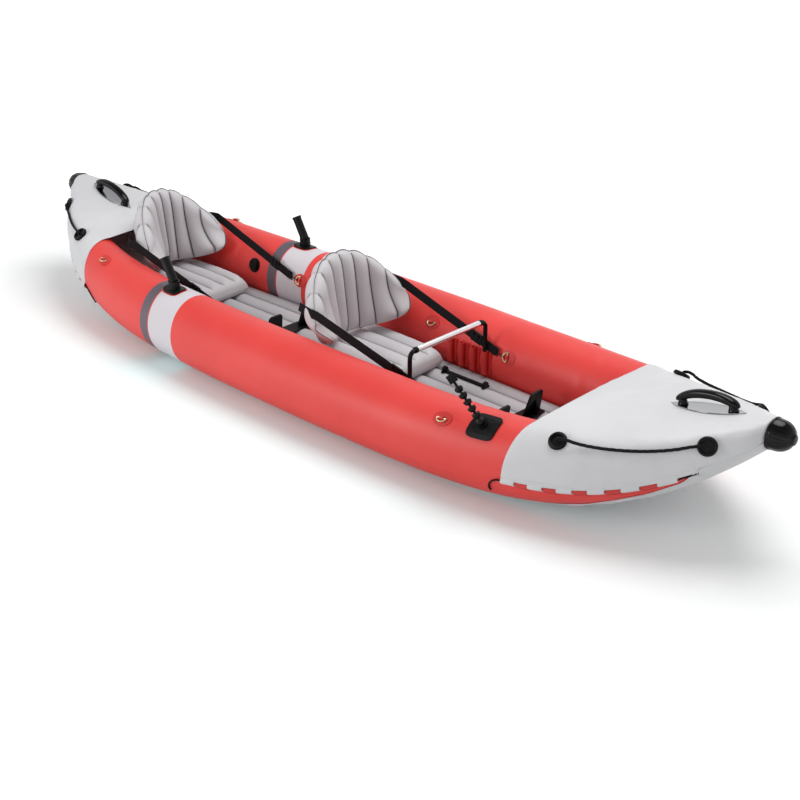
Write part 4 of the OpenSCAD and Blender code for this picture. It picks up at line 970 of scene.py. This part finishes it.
def back_half(x0, w):
    return inner_y(x0, tube_z(x0)) + mix(-BACK_LOW_GAP, BACK_OVER, ease(share(w, 0.1, 0.8)))


def back_wrap(x0, w):
    """How far the wings come forward; they wrap more where the walls are close."""
    return BACK_WRAP + BACK_GIVE * (back_half(SEAT_X["front"], 1.0) - back_half(x0, w))


def back_mid(x0, v, w):
    a = np.abs(v)
    scallop = 0.008 * np.abs(np.sin(np.pi / 2 * BACK_CHANNELS * (v + 1))) ** 0.7 * share(w, 0.8, 1.0)
    high = BACK_H * (1 - BACK_FALL * a**2.3) - 0.006 + scallop
    low = 0.010 + BACK_CORNER * a**4
    rounded = 1 - np.where(w < 0.5, 0.085, 0.075) * a**6 * np.abs(2 * w - 1) ** 2.6
    x = back_wrap(x0, w) * a**2.2 * rounded
    y = v * rounded * back_half(x0, w)
    return np.stack([x, y, mix(low, high, w)], -1)


def recline(p, x0):
    c, s = math.cos(BACK_RECLINE), math.sin(BACK_RECLINE)
    x = x0 + p[..., 0] * c - p[..., 2] * s
    z = CREASE_Z + p[..., 0] * s + p[..., 2] * c
    return np.stack([x, p[..., 1], z], -1)


def back_cushion(x0):
    v = np.concatenate([[-1, -0.988], np.linspace(-0.982, 0.982, 361), [0.988, 1]])[:, None]
    w = 0.5 - 0.5 * np.cos(np.pi * np.linspace(0.08, 0.92, 90))
    w = np.concatenate([[0.0, 0.011], w, [0.989, 1.0]])[None]
    inside = (np.abs(v) < 0.987) & (w > 0.0115) & (w < 0.9885)
    k = 2.2 * back_wrap(x0, w) * np.abs(v) ** 1.2 / back_half(x0, w)
    facing = np.stack([1 / np.sqrt(1 + k**2), -np.sign(v) * k / np.sqrt(1 + k**2), 0 * k], -1)
    weld = ease(share(w, 0.0, 0.05)) * ease(share(1 - w, 0.0, 0.04))
    upright = v * back_half(x0, w) / back_half(x0, 1.0)
    swell = pinch((2 * w - 1) / 0.985, 6) * pinch(v / 0.988, 10)
    swell = swell * channel(upright, BACK_CHANNELS, 0.5 * weld, 0.5)
    thick = np.where(inside, 0.003 + (BACK_THICK - 0.003) * swell, 0.0016)
    mid = back_mid(x0, v, w)
    front = recline(mid + facing * thick[..., None] / 2, x0)
    back = recline(mid - facing * thick[..., None] / 2, x0)
    return front, back, weld * weld_line(upright, BACK_CHANNELS, back_half(x0, 1.0), 0.0026)


for label, body in (("front", "front_back"), ("rear", "rear_back")):
    top, low, weld = seat_cushion(SEAT_X[label])
    piece = mesh_object(label + "_seat_cushion", *closed_sheet(top, low), M["seat"])
    # The weld masks place painted shade in the seat's and backrest's welded grooves
    mark_creases(piece, weld, weld)
    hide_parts(label + "_seat_base")
    front, back, weld = back_cushion(SEAT_X[label])
    piece = mesh_object(label + "_back_cushion", *closed_sheet(front, back), M["seat"], body)
    mark_creases(piece, weld, weld)
    edge_material(piece, front.shape, M["seat_edge"])
    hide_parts(label + "_backrest")


# Straps: flat webbing from behind each backrest's side to the wall ring
def webbing(path, width_dir, width, thick):
    """A flat band along a path, with its width along one direction."""
    t = directions(path)
    w = np.asarray(width_dir, float) - t * (t @ np.asarray(width_dir, float))[:, None]
    w /= np.linalg.norm(w, axis=1, keepdims=True)
    n = np.cross(t, w)
    across = np.linspace(-0.5, 0.5, 9)
    crown = thick / 2 * np.sqrt(np.maximum(0.05, 1 - (2 * np.abs(across)) ** 8))
    top = path[:, None] + across[None, :, None] * width * w[:, None] + crown[None, :, None] * n[:, None]
    low = path[:, None] + across[None, :, None] * width * w[:, None] - crown[None, :, None] * n[:, None]
    return closed_sheet(top, low)


for label, body in (("front", "front_back"), ("rear", "rear_back")):
    x0 = SEAT_X[label]
    for side, tag in ((1, "port"), (-1, "starboard")):
        flip = np.array([1, side, 1.0])
        near, far = np.array(STRAP_FROM[label]), np.array(STRAP_TO[label])
        wing = recline(back_mid(x0, np.array(0.78), np.array(0.80)), x0)
        route = [wing + (-0.050, 0.034, -0.004), near + (-0.040, 0.004, 0.004)]
        route += [mix(near, far, s) for s in (0.0, 0.12, 0.4, 0.7, 1.0)]
        path, _ = smooth_path([np.asarray(p) * flip for p in route], 0.006)
        band = webbing(path, STRAP_FACE, STRAP_W, STRAP_T)
        piece = mesh_object(f"{label}_{tag}_strap", *band, M["web"], None)
        if side > 0:
            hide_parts(label + "_straps")
        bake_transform(piece)


# Finish on the CAD nodes that stay
def finish(names, material, bevel=0.0):
    for name in names:
        obj = nodes[name]
        obj.data.materials.clear()
        obj.data.materials.append(material)
        if bevel:
            mod = obj.modifiers.new("soft_edges", "BEVEL")
            mod.width = bevel
            mod.segments = 2
            mod.limit_method = "ANGLE"
            mod.angle_limit = math.radians(40)


finish(["rope_eyelets", "rod_holder_bases", "port_rod_tube", "starboard_rod_tube", "bar_elbows"], M["black"])
finish(["holder_base", "holder_cradle", "holder_jaw"] + [f"arm_link_{i}" for i in range(1, 6)], M["black"])
braces = ["foot_rails", "front_foot_brace", "rear_foot_brace", "skeg_mount"]
finish(braces + ["strap_buckles", "strap_hooks"], M["black"], 0.001)
finish(["valve_bodies", "port_valve_cap", "starboard_valve_cap"], M["black"])
finish(["bar_sleeves", "ring_patches"], M["red_tab"])
finish(["mounting_bar"], M["tube"])
ring_places = [(where, side) for where in ("forward", "inner", "aft") for side in ("port", "starboard")]
finish(["strap_rings"] + [f"{where}_{side}_ring" for where, side in ring_places], M["brass"])
